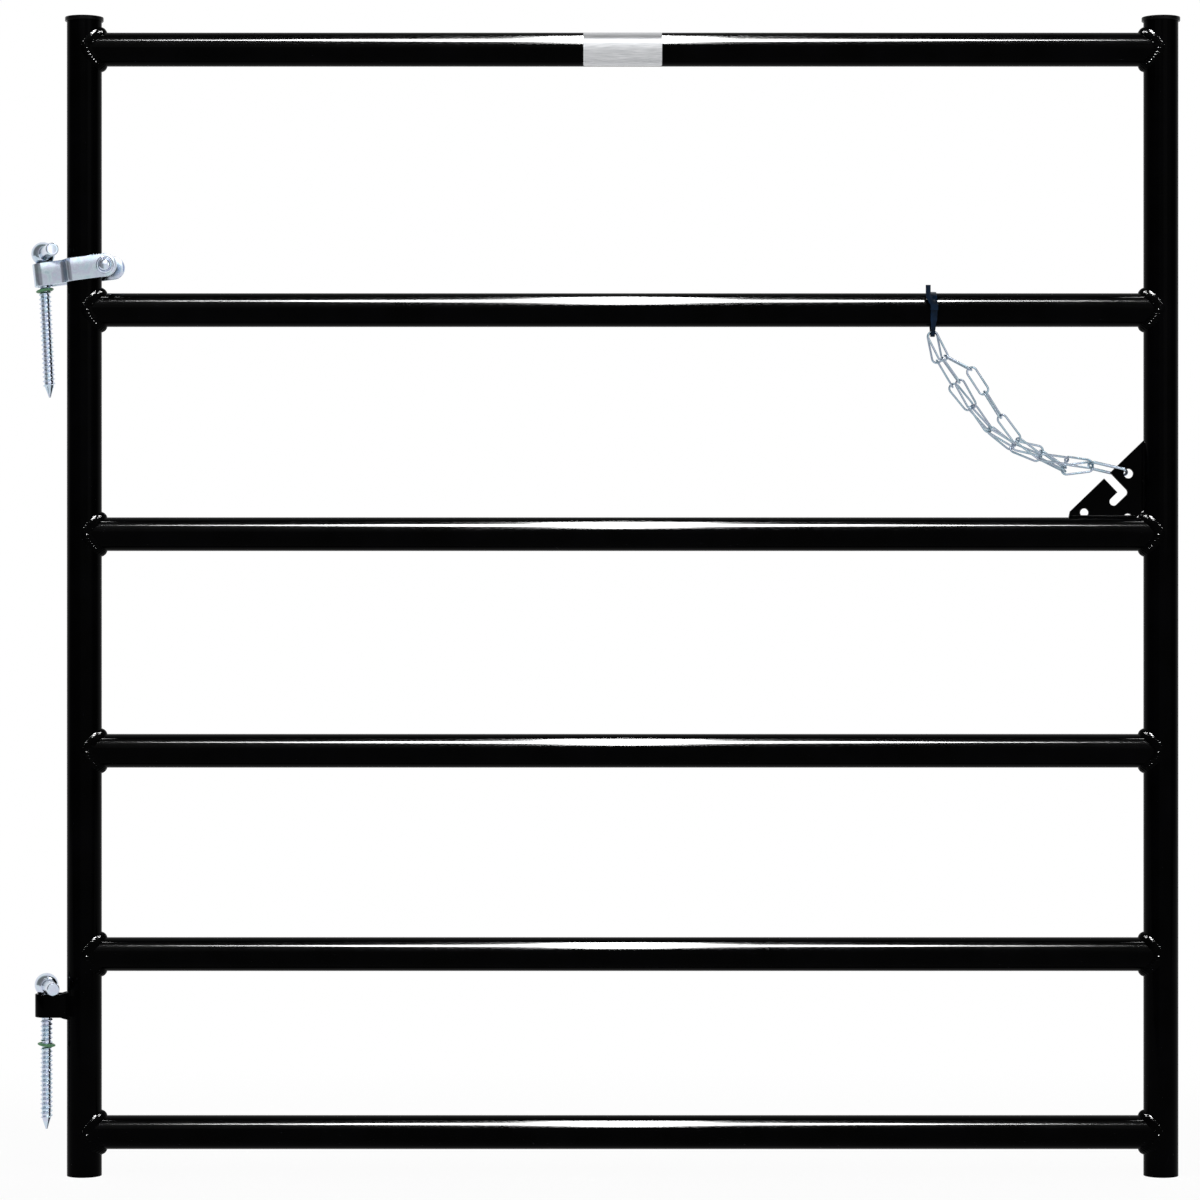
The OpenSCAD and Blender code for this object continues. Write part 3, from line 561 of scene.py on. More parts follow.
# %% Eye beads
EYE_LOW, EYE_HIGH = (corner[2] for corner in span("lower_eye"))
EYE_OUT = EYE_R + STRIP_T
SIDE_LEG, SIDE_CROWN, SIDE_FADE = 4.8, 0.2, 2.0
FLARE_OUT, FLARE_UP, FLARE_PAST, FLARE_RIPPLE, FLARE_FADE = 9.5, 2.5, 0.6, 4.0, 0.8
FLARE_STEPS = 40


def flank_x(y):
    """X of the hinge upright's near flank at a distance Y from its middle."""
    return HINGE_X - np.sqrt((UPRIGHT_R - WELD_SINK) ** 2 - y ** 2)


z = np.linspace(EYE_LOW, EYE_HIGH, SMALL_STEPS)
y = np.linspace(EYE_R - FLARE_PAST, EYE_OUT + FLARE_PAST, FLARE_STEPS)
near = EYE_OUT - WELD_SINK
patches = []
for side in (-1, 1):
    lines = [np.stack([flank_x(out) - back + 0 * z, side * out + 0 * z, z], -1)
             for out, back in ((near, 0), (near, SIDE_LEG), (EYE_OUT + SIDE_LEG, 0))]
    patches.append((bead(*lines, SIDE_CROWN, SMALL_RIPPLE, SIDE_FADE), False, True))
    for edge, up in ((EYE_HIGH - WELD_SINK, 1), (EYE_LOW + WELD_SINK, -1)):
        root = np.stack([flank_x(y), side * y, edge + 0 * y], -1)
        spread = bead(root, root + up * FLARE_UP * z_axis, root - FLARE_OUT * x_axis, 0.0,
                      FLARE_RIPPLE, FLARE_FADE)
        patches.append((spread, False, True))
piece("eye_beads", patches, powder_coat, "frame", ["lower_eye_welds"])

# %% [markdown]
# ## Bent strip: the welded eye and the strap hinge
#
# Both are one inch strip with rolled edges. A strip is a rounded rectangle carried along the
# line of its middle. The line is built from straights and arcs, so the bends are true
# rounds. Where the strap ends in a half round, its width follows the circle.

# %% Strip along a line
EDGE_R, LINE_STEP, EYE_SINK = 0.8, 0.6, 1.0


def line_of(moves, start, heading):
    """Points and headings of a line of straights (length, 0) and bends (radius, degrees)."""
    points, headings = [np.array(start, float)], [heading]
    for size, angle in moves:
        length = size if angle == 0 else size * abs(math.radians(angle))
        s = np.linspace(0, length, max(2, int(length / LINE_STEP)))[1:]
        h, p = headings[-1], points[-1]
        if angle == 0:
            turns = np.full(len(s), h)
            new = p + s[:, None] * [math.cos(h), math.sin(h)]
        else:
            sign = np.sign(angle)
            turns = h + sign * s / size
            curve = [np.sin(turns) - math.sin(h), math.cos(h) - np.cos(turns)]
            new = p + sign * size * np.stack(curve, -1)
        points.extend(new)
        headings.extend(turns)
    return np.array(points), np.array(headings)


def full_width(run, total):
    """Half width of a strip that is cut square."""
    return np.full(len(run), STRIP_W / 2)


def strip(moves, start, half_width):
    """Grid of a strip that sets out towards -X: its line in plan, its width upright."""
    line, headings = line_of(moves, start, math.pi)
    path = np.concatenate([line, np.zeros((len(line), 1))], 1)
    side = np.stack([-np.sin(headings), np.cos(headings), 0 * headings], -1)
    run = np.concatenate([[0], np.cumsum(np.linalg.norm(np.diff(line, axis=0), axis=1))])
    bar = rounded_bar(STRIP_W, STRIP_T, EDGE_R)
    share = half_width(run, run[-1])[:, None] / (STRIP_W / 2)
    profile = np.stack([np.broadcast_to(bar[:, 0], (len(run), len(bar))), bar[:, 1] * share], -1)
    return capped(sweep(path, side, np.broadcast_to(z_axis, path.shape), profile))


MID_R = EYE_R + STRIP_T / 2
eye_leg = HINGE_X - math.sqrt(UPRIGHT_R ** 2 - EYE_OUT ** 2) + EYE_SINK
eye = strip([(eye_leg, 0), (MID_R, -180), (eye_leg, 0)], (eye_leg, -MID_R), full_width)
piece("welded_eye", [(eye + z_axis * (EYE_LOW + EYE_HIGH) / 2, False, True)], powder_coat,
      "frame", ["lower_eye"])

# %% [markdown]
# The strap's two legs leave the eye side by side, flare out in an S, run along the upright and
# end round about the bolt. It sits a little tilted and swung round the tube, as it came to
# rest when it was clamped. The ball of the upper hook rests on its eye, a little off centre.

# %% Strap hinge
STRAP_EYE, FLARE_X, FLARE_ANGLE, FLARE_R, BOLT_X = 44.5, 23.5, 50, 6.0, 28.0
END_TRIM, END_LEFT, SEAT_SHIFT = 0.05, 0.02, 1.0
LEG_Y = UPRIGHT_R + FIT + STRIP_T / 2
flare = math.radians(FLARE_ANGLE)
flare_run = (LEG_Y - MID_R - 2 * FLARE_R * (1 - math.cos(flare))) / math.sin(flare)
flare_len = 2 * FLARE_R * math.sin(flare) + flare_run * math.cos(flare)
strap_end = BOLT_X + STRIP_W / 2 - END_TRIM
out_moves = [(FLARE_X - flare_len + strap_end, 0), (FLARE_R, -FLARE_ANGLE), (flare_run, 0),
             (FLARE_R, FLARE_ANGLE), (STRAP_EYE - FLARE_X, 0)]


def round_ended(run, total):
    """Half width that follows a circle within half a strip of either end."""
    near = np.minimum(run, total - run)
    inside = np.clip(STRIP_W / 2 - near, 0, STRIP_W / 2 - END_LEFT)
    return np.sqrt((STRIP_W / 2) ** 2 - inside ** 2)


moves = out_moves + [(MID_R, -180)] + out_moves[::-1]
strap_grid = strip(moves, (strap_end, -LEG_Y), round_ended)
strap_turn = about_z(-STRAP_SWIVEL) @ about_y(-STRAP_TILT)
ball_at = np.array(joints["upper_hook_swivel"]["pos_m"]) / MM
seat = math.sqrt((BALL_R + FIT) ** 2 - (EYE_R - SEAT_SHIFT) ** 2)
strap_at = ball_at - strap_turn @ [SEAT_SHIFT - STRAP_EYE, 0, STRIP_W / 2 + seat]
piece("clamp_strap", [(turned(strap_grid, strap_turn, strap_at), False, True)], zinc,
      "strap_hinge", ["hinge_strap"])
print("strap stands at", np.round(strap_at, 2))

# %% [markdown]
# ### The clamp's bolt
#
# The bolt's head has a flat rim with a crown turned on it, and a groove where they meet. Its
# end is threaded: the radius rises and falls with height over pitch. One revolved profile with
# small rounds gives all of it.

# %% Bolt
LEG_OUT = LEG_Y + STRIP_T / 2
BOLT_R, HEAD_R, RIM_H, CROWN_R, CROWN_H = 4.0, 9.8, 1.6, 6.5, 3.0
GROOVE, GROOVE_FLAT, RIM_IN, RIM_OUT, RIM_EDGE, HEAD_EASE = 0.9, 0.5, 2.0, 1.0, 0.4, 0.5
WASHER_T, NUT_H, NUT_FLATS, BOLT_END, BOLT_CHAMFER = 1.6, 6.5, 13.0, 4.0, 0.8
BOLT_PITCH, BOLT_DEPTH, BOLT_STEP, BOLT_FROM, BOLT_STOP = 1.25, 0.55, 0.12, 0.4, 0.6
BOLT_TURNS, DOME_FROM, DOME_ROWS = 48, 0.02, 14

dome = np.linspace(DOME_FROM, 1, DOME_ROWS) * np.pi / 2
crown = np.stack([CROWN_R * np.sin(dome), -RIM_H - CROWN_H * np.cos(dome)], -1)
rim_top = [(CROWN_R, GROOVE - RIM_H), (CROWN_R + GROOVE_FLAT, GROOVE - RIM_H),
           (HEAD_R - RIM_IN, -RIM_H), (HEAD_R - RIM_OUT, -RIM_H)]
under_rim = [(HEAD_R, -RIM_EDGE), (HEAD_R, 0), (BOLT_R, 0)]
head = rounded_profile([*crown[:-1], *rim_top, *under_rim], HEAD_EASE)
end = 2 * LEG_OUT + WASHER_T + NUT_H + BOLT_END
z = np.arange(BOLT_FROM, end - BOLT_STOP, BOLT_STEP)
tooth = np.abs((z / BOLT_PITCH) % 1 - 0.5) * 2
shank = np.stack([BOLT_R - BOLT_DEPTH * (1 - tooth) * (z > LEG_OUT), z], -1)
tip = [(BOLT_R - BOLT_CHAMFER, end), (0, end)]
profile = np.concatenate([[(0, -RIM_H - CROWN_H)], head, shank, tip])
along_bolt = strap_turn @ np.array([x_axis, z_axis, -y_axis])
bolt_at = strap_at + strap_turn @ [BOLT_X, -LEG_OUT, 0]
bolt = turned(revolve(profile, BOLT_TURNS), along_bolt, bolt_at)
piece("clamp_bolt", [(bolt, False, True)], zinc, "strap_hinge", ["strap_bolt"])

# %% [markdown]
# ### The clamp's nut
#
# The nut is a hexagon whose corners are turned off by a cone: at each angle and height its
# radius is the smaller of the hexagon's and the cone's.

# %% Nut
NUT_TURNS, CONE_SHARE, CONE_SLOPE, NUT_SHARP = 96, 0.98, 1.75, 25
chamfer = np.array([0, 0.15, 0.4, 0.7, 1.1])
turn = around(NUT_TURNS)
hexagon = NUT_FLATS / 2 / np.cos((turn + np.pi / 6) % (np.pi / 3) - np.pi / 6)
heights = np.concatenate([chamfer, NUT_H - chamfer[::-1]])
cone = NUT_FLATS / 2 * CONE_SHARE + CONE_SLOPE * np.minimum(heights, NUT_H - heights)
bore = np.full((1, NUT_TURNS), BOLT_R + FIT)
radius = np.concatenate([bore, np.minimum(hexagon[None, :], cone[:, None]), bore])
heights = np.concatenate([[0], heights, [NUT_H]])[:, None]
nut = np.stack([radius * np.cos(turn), radius * np.sin(turn), heights + 0 * turn], -1)
nut_at = bolt_at + strap_turn @ [0, 2 * LEG_OUT + WASHER_T, 0]
piece("clamp_nut", [(turned(nut, along_bolt, nut_at), True, True)], zinc, "strap_hinge",
      ["strap_nut"], NUT_SHARP)

# %% [markdown]
# ## Screw hooks
#
# A hook is forged from rod: a ball shoulder, a plain pintle bent off to one side, and a shank
# with a coarse lag thread and a drawn point. The ball and pintle are one profile turned about
# the pintle. The shank is a radius that depends on the turn and the height: the root, plus a
# sharp crest wherever height over pitch minus turn comes round to a whole number. The crest
# fades in under the plain neck, and fades out where the point begins.

# %% Hooks
PINTLE, PINTLE_CHAMFER, SHANK, TIP, TIP_R, PITCH = 50.0, 1.0, 158.0, 13.0, 1.0, 5.0
CREST_SHARE, CREST_POWER, THREAD_FROM, THREAD_IN, THREAD_OUT = 0.26, 0.8, 16.0, 3, 5
NECK_FROM, NECK_MORE, SHANK_STEP, TIP_ROWS, SHANK_TURNS = 4, 0.6, 0.32, 48, 56
BALL_ROWS, FILLET_ROWS, HOOK_TURNS, HOOK_SHARP = 40, 8, 64, 50
FILLET_OUT, FILLET_TURN, FILLET_RUN = 1.2, 0.6, 4.0
END_RUN, DISH_IN, DISH, END_EASE = 8, 2.4, 0.5, 0.4


def threaded_shank(ring_at):
    """Grid of the shank: r = root + (crest - root) * (1 - |f| / share), f from the helix."""
    rows = [[0], np.arange(NECK_FROM, SHANK - TIP, SHANK_STEP),
            np.linspace(SHANK - TIP, SHANK, TIP_ROWS)]
    z = -np.concatenate(rows)[:, None]
    turn = around(SHANK_TURNS)[None, :]
    f = (z + ring_at) / PITCH - turn / math.tau + 0.5
    f = f - np.round(f)
    crest = np.clip(1 - np.abs(f) / CREST_SHARE, 0, 1) ** CREST_POWER
    start = np.clip((-z - THREAD_FROM) / THREAD_IN, 0, 1)
    taper = np.clip((SHANK + z) / TIP, 0, 1)
    stop = np.clip(1 - (1 - taper) * THREAD_OUT, 0, 1)
    root = np.where(start > 0, ROOT_R, ROOT_R + NECK_MORE)
    r = root * (TIP_R / ROOT_R + (1 - TIP_R / ROOT_R) * taper)
    r = r + (ROD_R - ROOT_R) * crest * start * stop
    return capped(np.stack([r * np.cos(turn), r * np.sin(turn), z + 0 * turn], -1))


def ball_and_pintle():
    """Grid of the ball, a small fillet and the pintle with a chamfered, slightly dished end."""
    neck = math.acos((ROD_R + FILLET_OUT) / BALL_R)
    ball = BALL_R * circle(np.linspace(-np.pi / 2, neck, BALL_ROWS))
    ball[0, 0] = 0
    t = np.linspace(0, 1, FILLET_ROWS)[1:, None]
    rise = ball[-1, 1]
    fillet = bezier(t, ball[-1], np.array([ROD_R, rise + FILLET_TURN]),
                    np.array([ROD_R, rise + FILLET_RUN]))
    end = [(ROD_R, PINTLE - END_RUN), (ROD_R, PINTLE - PINTLE_CHAMFER),
           (ROD_R - PINTLE_CHAMFER, PINTLE), (ROD_R - DISH_IN, PINTLE), (0, PINTLE - DISH)]
    return revolve(np.concatenate([ball, fillet, rounded_profile(end, END_EASE)]), HOOK_TURNS)


def hook(name, origin, matrix, angle, ring_at, body, node):
    """One hook: its shank down its own Z, its pintle out at an angle from its own X."""
    out = about_z(angle) @ about_y(90)
    patches = [(turned(threaded_shank(ring_at), matrix, origin), False, True),
               (turned(ball_and_pintle(), matrix @ out, origin), False, True)]
    return piece(name, patches, zinc, body, [node], HOOK_SHARP)


LOWER_TURN, UPPER_TURN = 17, 20
upright = np.eye(3)
lower_ball = np.array([0, 0, span("lower_hook")[1][2] - BALL_R])
lower_ring_at = lower_ball[2] - middle("lower_retainer")[2]
hook("lower_screw_hook", lower_ball, upright, LOWER_TURN - 90, lower_ring_at,
     "lower_screw_hook", "lower_hook")
hook_turn = strap_turn @ about_y(STRAP_TILT - HOOK_LEAN)
upper_ring_at = np.linalg.norm(middle("upper_retainer") - ball_at)
hook("upper_screw_hook", ball_at, hook_turn, UPPER_TURN + STRAP_SWIVEL - 90, upper_ring_at,
     "upper_screw_hook", "upper_hook")

# %% [markdown]
# ### Retainers
#
# A green ring is pushed over the thread to keep the hook in its eye. It is thin at its rim and
# split into tongues round its bore, which grip the thread, and it sits a little askew.

# %% Retainers
RING_R, RING_H, RING_RIM, RING_BEVEL, RING_BORE = 9.75, 3.2, 1.2, 1.8, ROOT_R + 0.35
LIP_RUN, LIP_SHARE, RING_EASE, RING_TURNS = 1.0, 0.7, 0.35, 128
TONGUES, TONGUE_CUT, TONGUE_RUN = 8, 0.8, 1.2
LOWER_ASKEW, UPPER_ASKEW = 7, -8


def retainer(name, origin, matrix, askew, body, node):
    """Ring of revolution whose bore wanders in and out to make the tongues."""
    half, rim = RING_H / 2, RING_RIM / 2
    side = [(RING_R, rim), (RING_R - RING_BEVEL, half), (RING_BORE + LIP_RUN, half),
            (RING_BORE, half * LIP_SHARE)]
    loop = [(r, -h) for r, h in side[::-1]] + side
    ring = rounded_profile([*loop, loop[0]], RING_EASE, 4)[:-1]
    grid = revolve(ring, RING_TURNS)
    turn = around(RING_TURNS)
    cut = TONGUE_CUT * np.clip(np.cos(TONGUES * turn) * 4 - 3, 0, 1)
    inner = np.clip((RING_BORE + TONGUE_RUN - ring[:, 0]) / TONGUE_RUN, 0, 1)[:, None]
    grid[..., :2] += (inner * cut)[..., None] * circle(turn)
    return piece(name, [(turned(grid, matrix @ about_y(askew), origin), True, True)],
                 green_plastic, body, [node])


retainer("lower_ring", middle("lower_retainer"), upright, LOWER_ASKEW, "lower_screw_hook",
         "lower_retainer")
retainer("upper_ring", middle("upper_retainer"), hook_turn, UPPER_ASKEW, "upper_screw_hook",
         "upper_retainer")

# %% [markdown]
# ## Cable tie
#
# The tie goes once round the rail and dips under it, where the links hang on it. Its strap is
# a thin bar carried round a belt: a large arc, a small arc and the two straight runs between
# them. Towards the links it curls, which makes it narrower from the front. The head is a
# block with eased edges, and the tail is left long.

# %% The tie's strap
TIE_W, TIE_NIP_W, TIE_T, NIP_R, TIE_DROP, TIE_EASE = 7.2, 4.8, 1.2, 5.0, 11.0, 0.3
TIE_IN, TIE_POINTS, OVER_STEPS, UNDER_STEPS = 250.5, 420, 140, 50
RIB, RIB_POINTS = 0.12, 4
tie_at = np.array([LATCH_X - TIE_IN, 0, RAIL_Z[1]])
big, small = RAIL_R + FIT + TIE_T / 2, NIP_R + TIE_T / 2
nip_z = NIP_R + TIE_T - RAIL_R - TIE_DROP
lean = math.acos((big - small) / -nip_z)
over = np.linspace(lean - np.pi / 2, 3 * np.pi / 2 - lean, OVER_STEPS)
under = np.linspace(3 * np.pi / 2 - lean, 3 * np.pi / 2 + lean, UNDER_STEPS)
belt = np.concatenate([circle(over) * big, circle(under) * small + [0, nip_z]])
belt = np.concatenate([belt, belt[:1]])
dense = np.linspace(0, len(belt) - 1, TIE_POINTS, endpoint=False)
belt = np.stack([np.interp(dense, np.arange(len(belt)), column) for column in belt.T], -1)
go = np.roll(belt, -1, 0) - np.roll(belt, 1, 0)
go = go / np.linalg.norm(go, axis=1, keepdims=True)
outward = np.stack([0 * go[:, 0], go[:, 1], -go[:, 0]], -1)
path = tie_at + np.stack([0 * belt[:, 0], belt[:, 0], belt[:, 1]], -1)
share = np.clip((belt[:, 1] - nip_z - NIP_R) / TIE_W, 0, 1)
width = TIE_NIP_W + (TIE_W - TIE_NIP_W) * share
bar = rounded_bar(1.0, TIE_T, TIE_EASE, 3)
ribs = np.sign(np.sin(np.arange(TIE_POINTS) * math.tau / RIB_POINTS))
thick = bar[None, :, 0] + (bar[None, :, 0] < 0) * RIB * np.clip(ribs, 0, 1)[:, None]
profile = np.stack([thick, bar[None, :, 1] * width[:, None]], -1)
tie_strap = sweep(path, outward, np.broadcast_to(x_axis, path.shape), profile)
print("strap of the tie", tie_strap.shape)

# %% [markdown]
# The head is a rounded rectangle lofted over its depth and pulled in towards both faces. The
# tail leaves it at a lean, and bends upright through a small curve.

# %% The tie's head and tail
HEAD_W, HEAD_H, HEAD_T, HEAD_RISE, BLOCK_EASE, BLOCK_PULL = 8.4, 7.0, 4.6, 1.5, 0.7, 0.3
BLOCK_ROWS, TAIL_ROWS, TAIL_BEND_ROWS = 24, 40, 6
TAIL_W, TAIL_RUN, TAIL_LEAN, TAIL_END, TAIL_BEND = 5.4, 14.0, 29.0, 12.0, 2.0
front = -(RAIL_R + FIT + TIE_T)


def eased_block(wide, deep, tall, middle_at):
    """Box with eased edges: pull = share * past^2 * (deep / 2)^2 / ease near both faces."""
    depth = np.linspace(-1, 1, BLOCK_ROWS)
    past = np.clip(np.abs(depth) - (1 - 2 * BLOCK_EASE / deep), 0, 1)
    pull = (BLOCK_PULL * past ** 2 * (deep / 2) ** 2 / BLOCK_EASE)[:, None, None]
    bar = rounded_bar(tall, wide, BLOCK_EASE, 5)
    rows = bar[None] - np.sign(bar)[None] * pull
    back = np.broadcast_to(depth[:, None] * deep / 2, rows.shape[:2])
    return capped(np.stack([rows[..., 0], back, rows[..., 1]], -1) + middle_at)


head_at = tie_at + [0, front + TIE_T / 2 - HEAD_T / 2, HEAD_RISE]
head_block = eased_block(HEAD_W, HEAD_T, HEAD_H, head_at)
root_at = tie_at + [0, front - HEAD_T / 2 - TIE_T / 2, HEAD_RISE]
tail_turn = math.radians(TAIL_LEAN)
knee = root_at + np.array([-math.sin(tail_turn), 0, math.cos(tail_turn)]) * TAIL_RUN
s = np.linspace(0, 1, TAIL_ROWS)[:, None]
slope = root_at + (knee - root_at) * s
bend = bezier(s, slope[-TAIL_BEND_ROWS], knee, knee + TAIL_BEND * z_axis)
rise = knee + z_axis * (TAIL_BEND + s[1:] * (TAIL_END - TAIL_BEND))
tail_line = np.concatenate([slope[:-TAIL_BEND_ROWS], bend, rise])
go = np.gradient(tail_line, axis=0)
go = go / np.linalg.norm(go, axis=1, keepdims=True)
bar = rounded_bar(TAIL_W, TIE_T, TIE_EASE, 3)
tail = capped(sweep(tail_line, np.broadcast_to(y_axis, go.shape), np.cross(go, y_axis), bar))
patches = [(tie_strap, True, True), (head_block, False, True), (tail, False, True)]
piece("nylon_tie", patches, tie_nylon, "frame", ["cable_tie"])

# %% [markdown]
# ## Caps
#
# A cap is a moulded flange with a low crown and an eased rim, on a sleeve that is pushed into
# the upright. One profile is turned about the upright's axis.

# %% Caps
CAP_R, CAP_H, CAP_DOME, PLUG, PLUG_R = 21.0, 4.4, 1.6, 16.0, 17.05
SLEEVE_T, SLEEVE_DEEP, DOME_SHARE, CAP_EASE, CAP_TURNS, CAP_ROWS = 2, 12, 0.97, 0.7, 72, 20
share = np.linspace(1, 0, CAP_ROWS)
crown = np.stack([CAP_R * DOME_SHARE * share, CAP_H + CAP_DOME * (1 - share ** 2)], -1)
sleeve = [(0, SLEEVE_DEEP - PLUG), (PLUG_R - SLEEVE_T, SLEEVE_DEEP - PLUG),
          (PLUG_R - SLEEVE_T, -PLUG), (PLUG_R, -PLUG)]
flange = [(PLUG_R, 0), (CAP_R, 0), (CAP_R, CAP_H), tuple(crown[0])]
cap_line = np.concatenate([sleeve, rounded_profile(flange, CAP_EASE), crown[1:]])
cap = revolve(cap_line, CAP_TURNS)
for name, x, node in (("hinge_end_cap", HINGE_X, "hinge_cap"),
                      ("latch_end_cap", LATCH_X, "latch_cap")):
    piece(name, [(cap + [x, 0, TOP_Z], False, True)], cap_plastic, "frame",
          [node])

# %% [markdown]
# ## Label
#
# A foil label wraps the front of the top rail. It is a patch of a cylinder a little larger
# than the tube, with round corners, and it is left bare.

# %% Label
LABEL_MID_X, LABEL_HALF, LABEL_TURN, LABEL_CORNER = 632.0, 43.0, 82, 3.0
LABEL_T, LABEL_LIFT, LABEL_ROWS, LABEL_COLUMNS = 0.15, 0.02, 90, 60
turn = np.radians(np.linspace(-LABEL_TURN, LABEL_TURN, LABEL_ROWS))
edge = np.radians(LABEL_TURN) * RAIL_R - np.abs(turn) * RAIL_R
inset = np.clip(LABEL_CORNER - edge, 0, LABEL_CORNER)
half = LABEL_HALF - LABEL_CORNER + np.sqrt(LABEL_CORNER ** 2 - inset ** 2)
across = np.linspace(-1, 1, LABEL_COLUMNS)


def foil_skin(radius):
    """Patch of a cylinder about the top rail, its width narrowing in the round corners."""
    x = LABEL_MID_X + half[:, None] * across[None, :]
    y = -radius * np.cos(turn)[:, None] + 0 * x
    z = RAIL_Z[0] + radius * np.sin(turn)[:, None] + 0 * x
    return np.stack([x, y, z], -1)


def rim_loop(grid):
    """The points round the edge of a grid, in order."""
    return np.concatenate([grid[0], grid[1:, -1], grid[-1, -2::-1], grid[-2:0:-1, 0]])


outer, inner = foil_skin(RAIL_R + LABEL_T), foil_skin(RAIL_R + LABEL_LIFT)
edge_band = np.stack([rim_loop(outer), rim_loop(inner)], 0)
patches = [(outer, False, False), (inner, False, False), (edge_band, False, True)]
piece("foil_label", patches, foil, "frame")

# %% [markdown]
# ## Floor
#
# The photograph has a white ground. A white floor under the gate would come out a little grey
# at its far edge, so its own light takes over from the lamps' with distance, and only the
# gate's faint shadow is left.

# %% Floor
FLOOR_HALF, FLOOR_FRONT, FLOOR_DROP, FLOOR_GREY = 6.0, 0.9, 0.2, 0.9
FADE_FROM, FADE_TO, OWN_LEAST = 0.35, 0.9, 0.94
WHITE = (1, 1, 1, 1)
scene.view_settings.view_transform = "Standard"
floor_mesh = bpy.data.meshes.new("floor")
edges = [(-FLOOR_HALF, -FLOOR_FRONT), (FLOOR_HALF, -FLOOR_FRONT), (FLOOR_HALF, FLOOR_HALF),
         (-FLOOR_HALF, FLOOR_HALF)]
corners = [(x + centre_x * MM, y, (FOOT_Z - FLOOR_DROP) * MM) for x, y in edges]
floor_mesh.from_pydata(corners, [], [(0, 1, 2, 3)])
floor = bpy.data.objects.new("floor", floor_mesh)
scene.collection.objects.link(floor)
floor_paint, tree, shader, place = finish("white_studio_floor")
ray = add(tree, "ShaderNodeLightPath")
depth = add(tree, "ShaderNodeSeparateXYZ", Vector=(place, "Object"))
apart = add(tree, "ShaderNodeMath", {"operation": "ABSOLUTE"}, _0=(depth, "Y"))
own = add(tree, "ShaderNodeMapRange", Value=(apart, "Value"), From_Min=FADE_FROM,
          From_Max=FADE_TO, To_Min=OWN_LEAST)
seen = add(tree, "ShaderNodeMath", {"operation": "MAXIMUM"}, _0=(ray, "Is Camera Ray"),
           _1=(ray, "Is Glossy Ray"))
share = add(tree, "ShaderNodeMath", {"operation": "MULTIPLY"}, _0=(seen, "Value"),
            _1=(own, "Result"))
glow = add(tree, "ShaderNodeEmission", Color=WHITE, Strength=1.0)
both = add(tree, "ShaderNodeMixShader", Fac=(share, "Value"), _1=(shader, "BSDF"),
           _2=(glow, "Emission"))
shader.inputs["Base Color"].default_value = (FLOOR_GREY, FLOOR_GREY, FLOOR_GREY, 1)
shader.inputs["Roughness"].default_value = 0.9
tree.links.new(both.outputs["Shader"], tree.nodes["Material Output"].inputs["Surface"])
floor_mesh.materials.append(floor_paint)
print("floor ready")

# %% [markdown]
# ## Surroundings
#
# The world is white in front and behind, and metal mirrors that white too. All round between
# them stands a dark band, as when a photographer sets dark cards about a piece of bright
# metal: it draws the slate lines that give zinc its shape on a white ground. One more grey
# card on the left of the camera shades the near side of the rolled eye. The bands are set by
# the direction of a mirrored ray: its Y for front and back, its X for the left.

# %% World
AMBIENT, FRONT, CARDS, LEFT_CARD = 0.60, 0.95, 0.20, 0.35
FRONT_BAND, BACK_BAND, LEFT_BAND = (-0.62, -0.38), (0.10, 0.42), (-0.45, -0.2)
world = bpy.data.worlds.new("white_studio")
scene.world = world
world.use_nodes = True
tree = world.node_tree
sky = tree.nodes["Background"]
ray = add(tree, "ShaderNodeLightPath")
toward = add(tree, "ShaderNodeTexCoord")
depth = add(tree, "ShaderNodeSeparateXYZ", Vector=(toward, "Generated"))
ahead = add(tree, "ShaderNodeMapRange", Value=(depth, "Y"), From_Min=FRONT_BAND[0],
            From_Max=FRONT_BAND[1], To_Min=FRONT, To_Max=CARDS)
behind = add(tree, "ShaderNodeMapRange", Value=(depth, "Y"), From_Min=BACK_BAND[0],
             From_Max=BACK_BAND[1], To_Min=CARDS, To_Max=1.0)
aside = add(tree, "ShaderNodeMapRange", Value=(depth, "X"), From_Min=LEFT_BAND[0],
            From_Max=LEFT_BAND[1], To_Min=LEFT_CARD, To_Max=1.0)
lit = add(tree, "ShaderNodeMath", {"operation": "MULTIPLY"}, _0=(ahead, "Result"),
          _1=(aside, "Result"))
round_about = add(tree, "ShaderNodeMath", {"operation": "MAXIMUM"}, _0=(lit, "Value"),
                  _1=(behind, "Result"))
level = add(tree, "ShaderNodeMapRange", Value=(ray, "Is Camera Ray"), To_Min=AMBIENT,
            To_Max=1.0)
bounced = add(tree, "ShaderNodeMath", {"operation": "MAXIMUM"}, _0=(ray, "Is Glossy Ray"),
              _1=(ray, "Is Transmission Ray"))
mirrored = add(tree, "ShaderNodeMix", Factor=(bounced, "Value"), A=(level, "Result"),
               B=(round_about, "Value"))
sky.inputs["Color"].default_value = WHITE
tree.links.new(mirrored.outputs["Result"], sky.inputs["Strength"])
print("world ready")

# %% [markdown]
# ## Lamps
#
# Three oval lamps hang overhead in front, one across the other, and their reflection draws the
# bright lens along every rail. Paint mirrors under a hundredth of what it sees, so they have
# to be very bright, and they are linked to the painted pieces alone, but for the small beads,
# which stay dull in the photograph. Bare metal mirrors most of what it sees and gets a milder
# lamp in the same place. One more to each side draws a lens when the gate is seen at an angle.
# All of these show only as reflections. Two large soft lamps light everything from the front
# at a plain level.


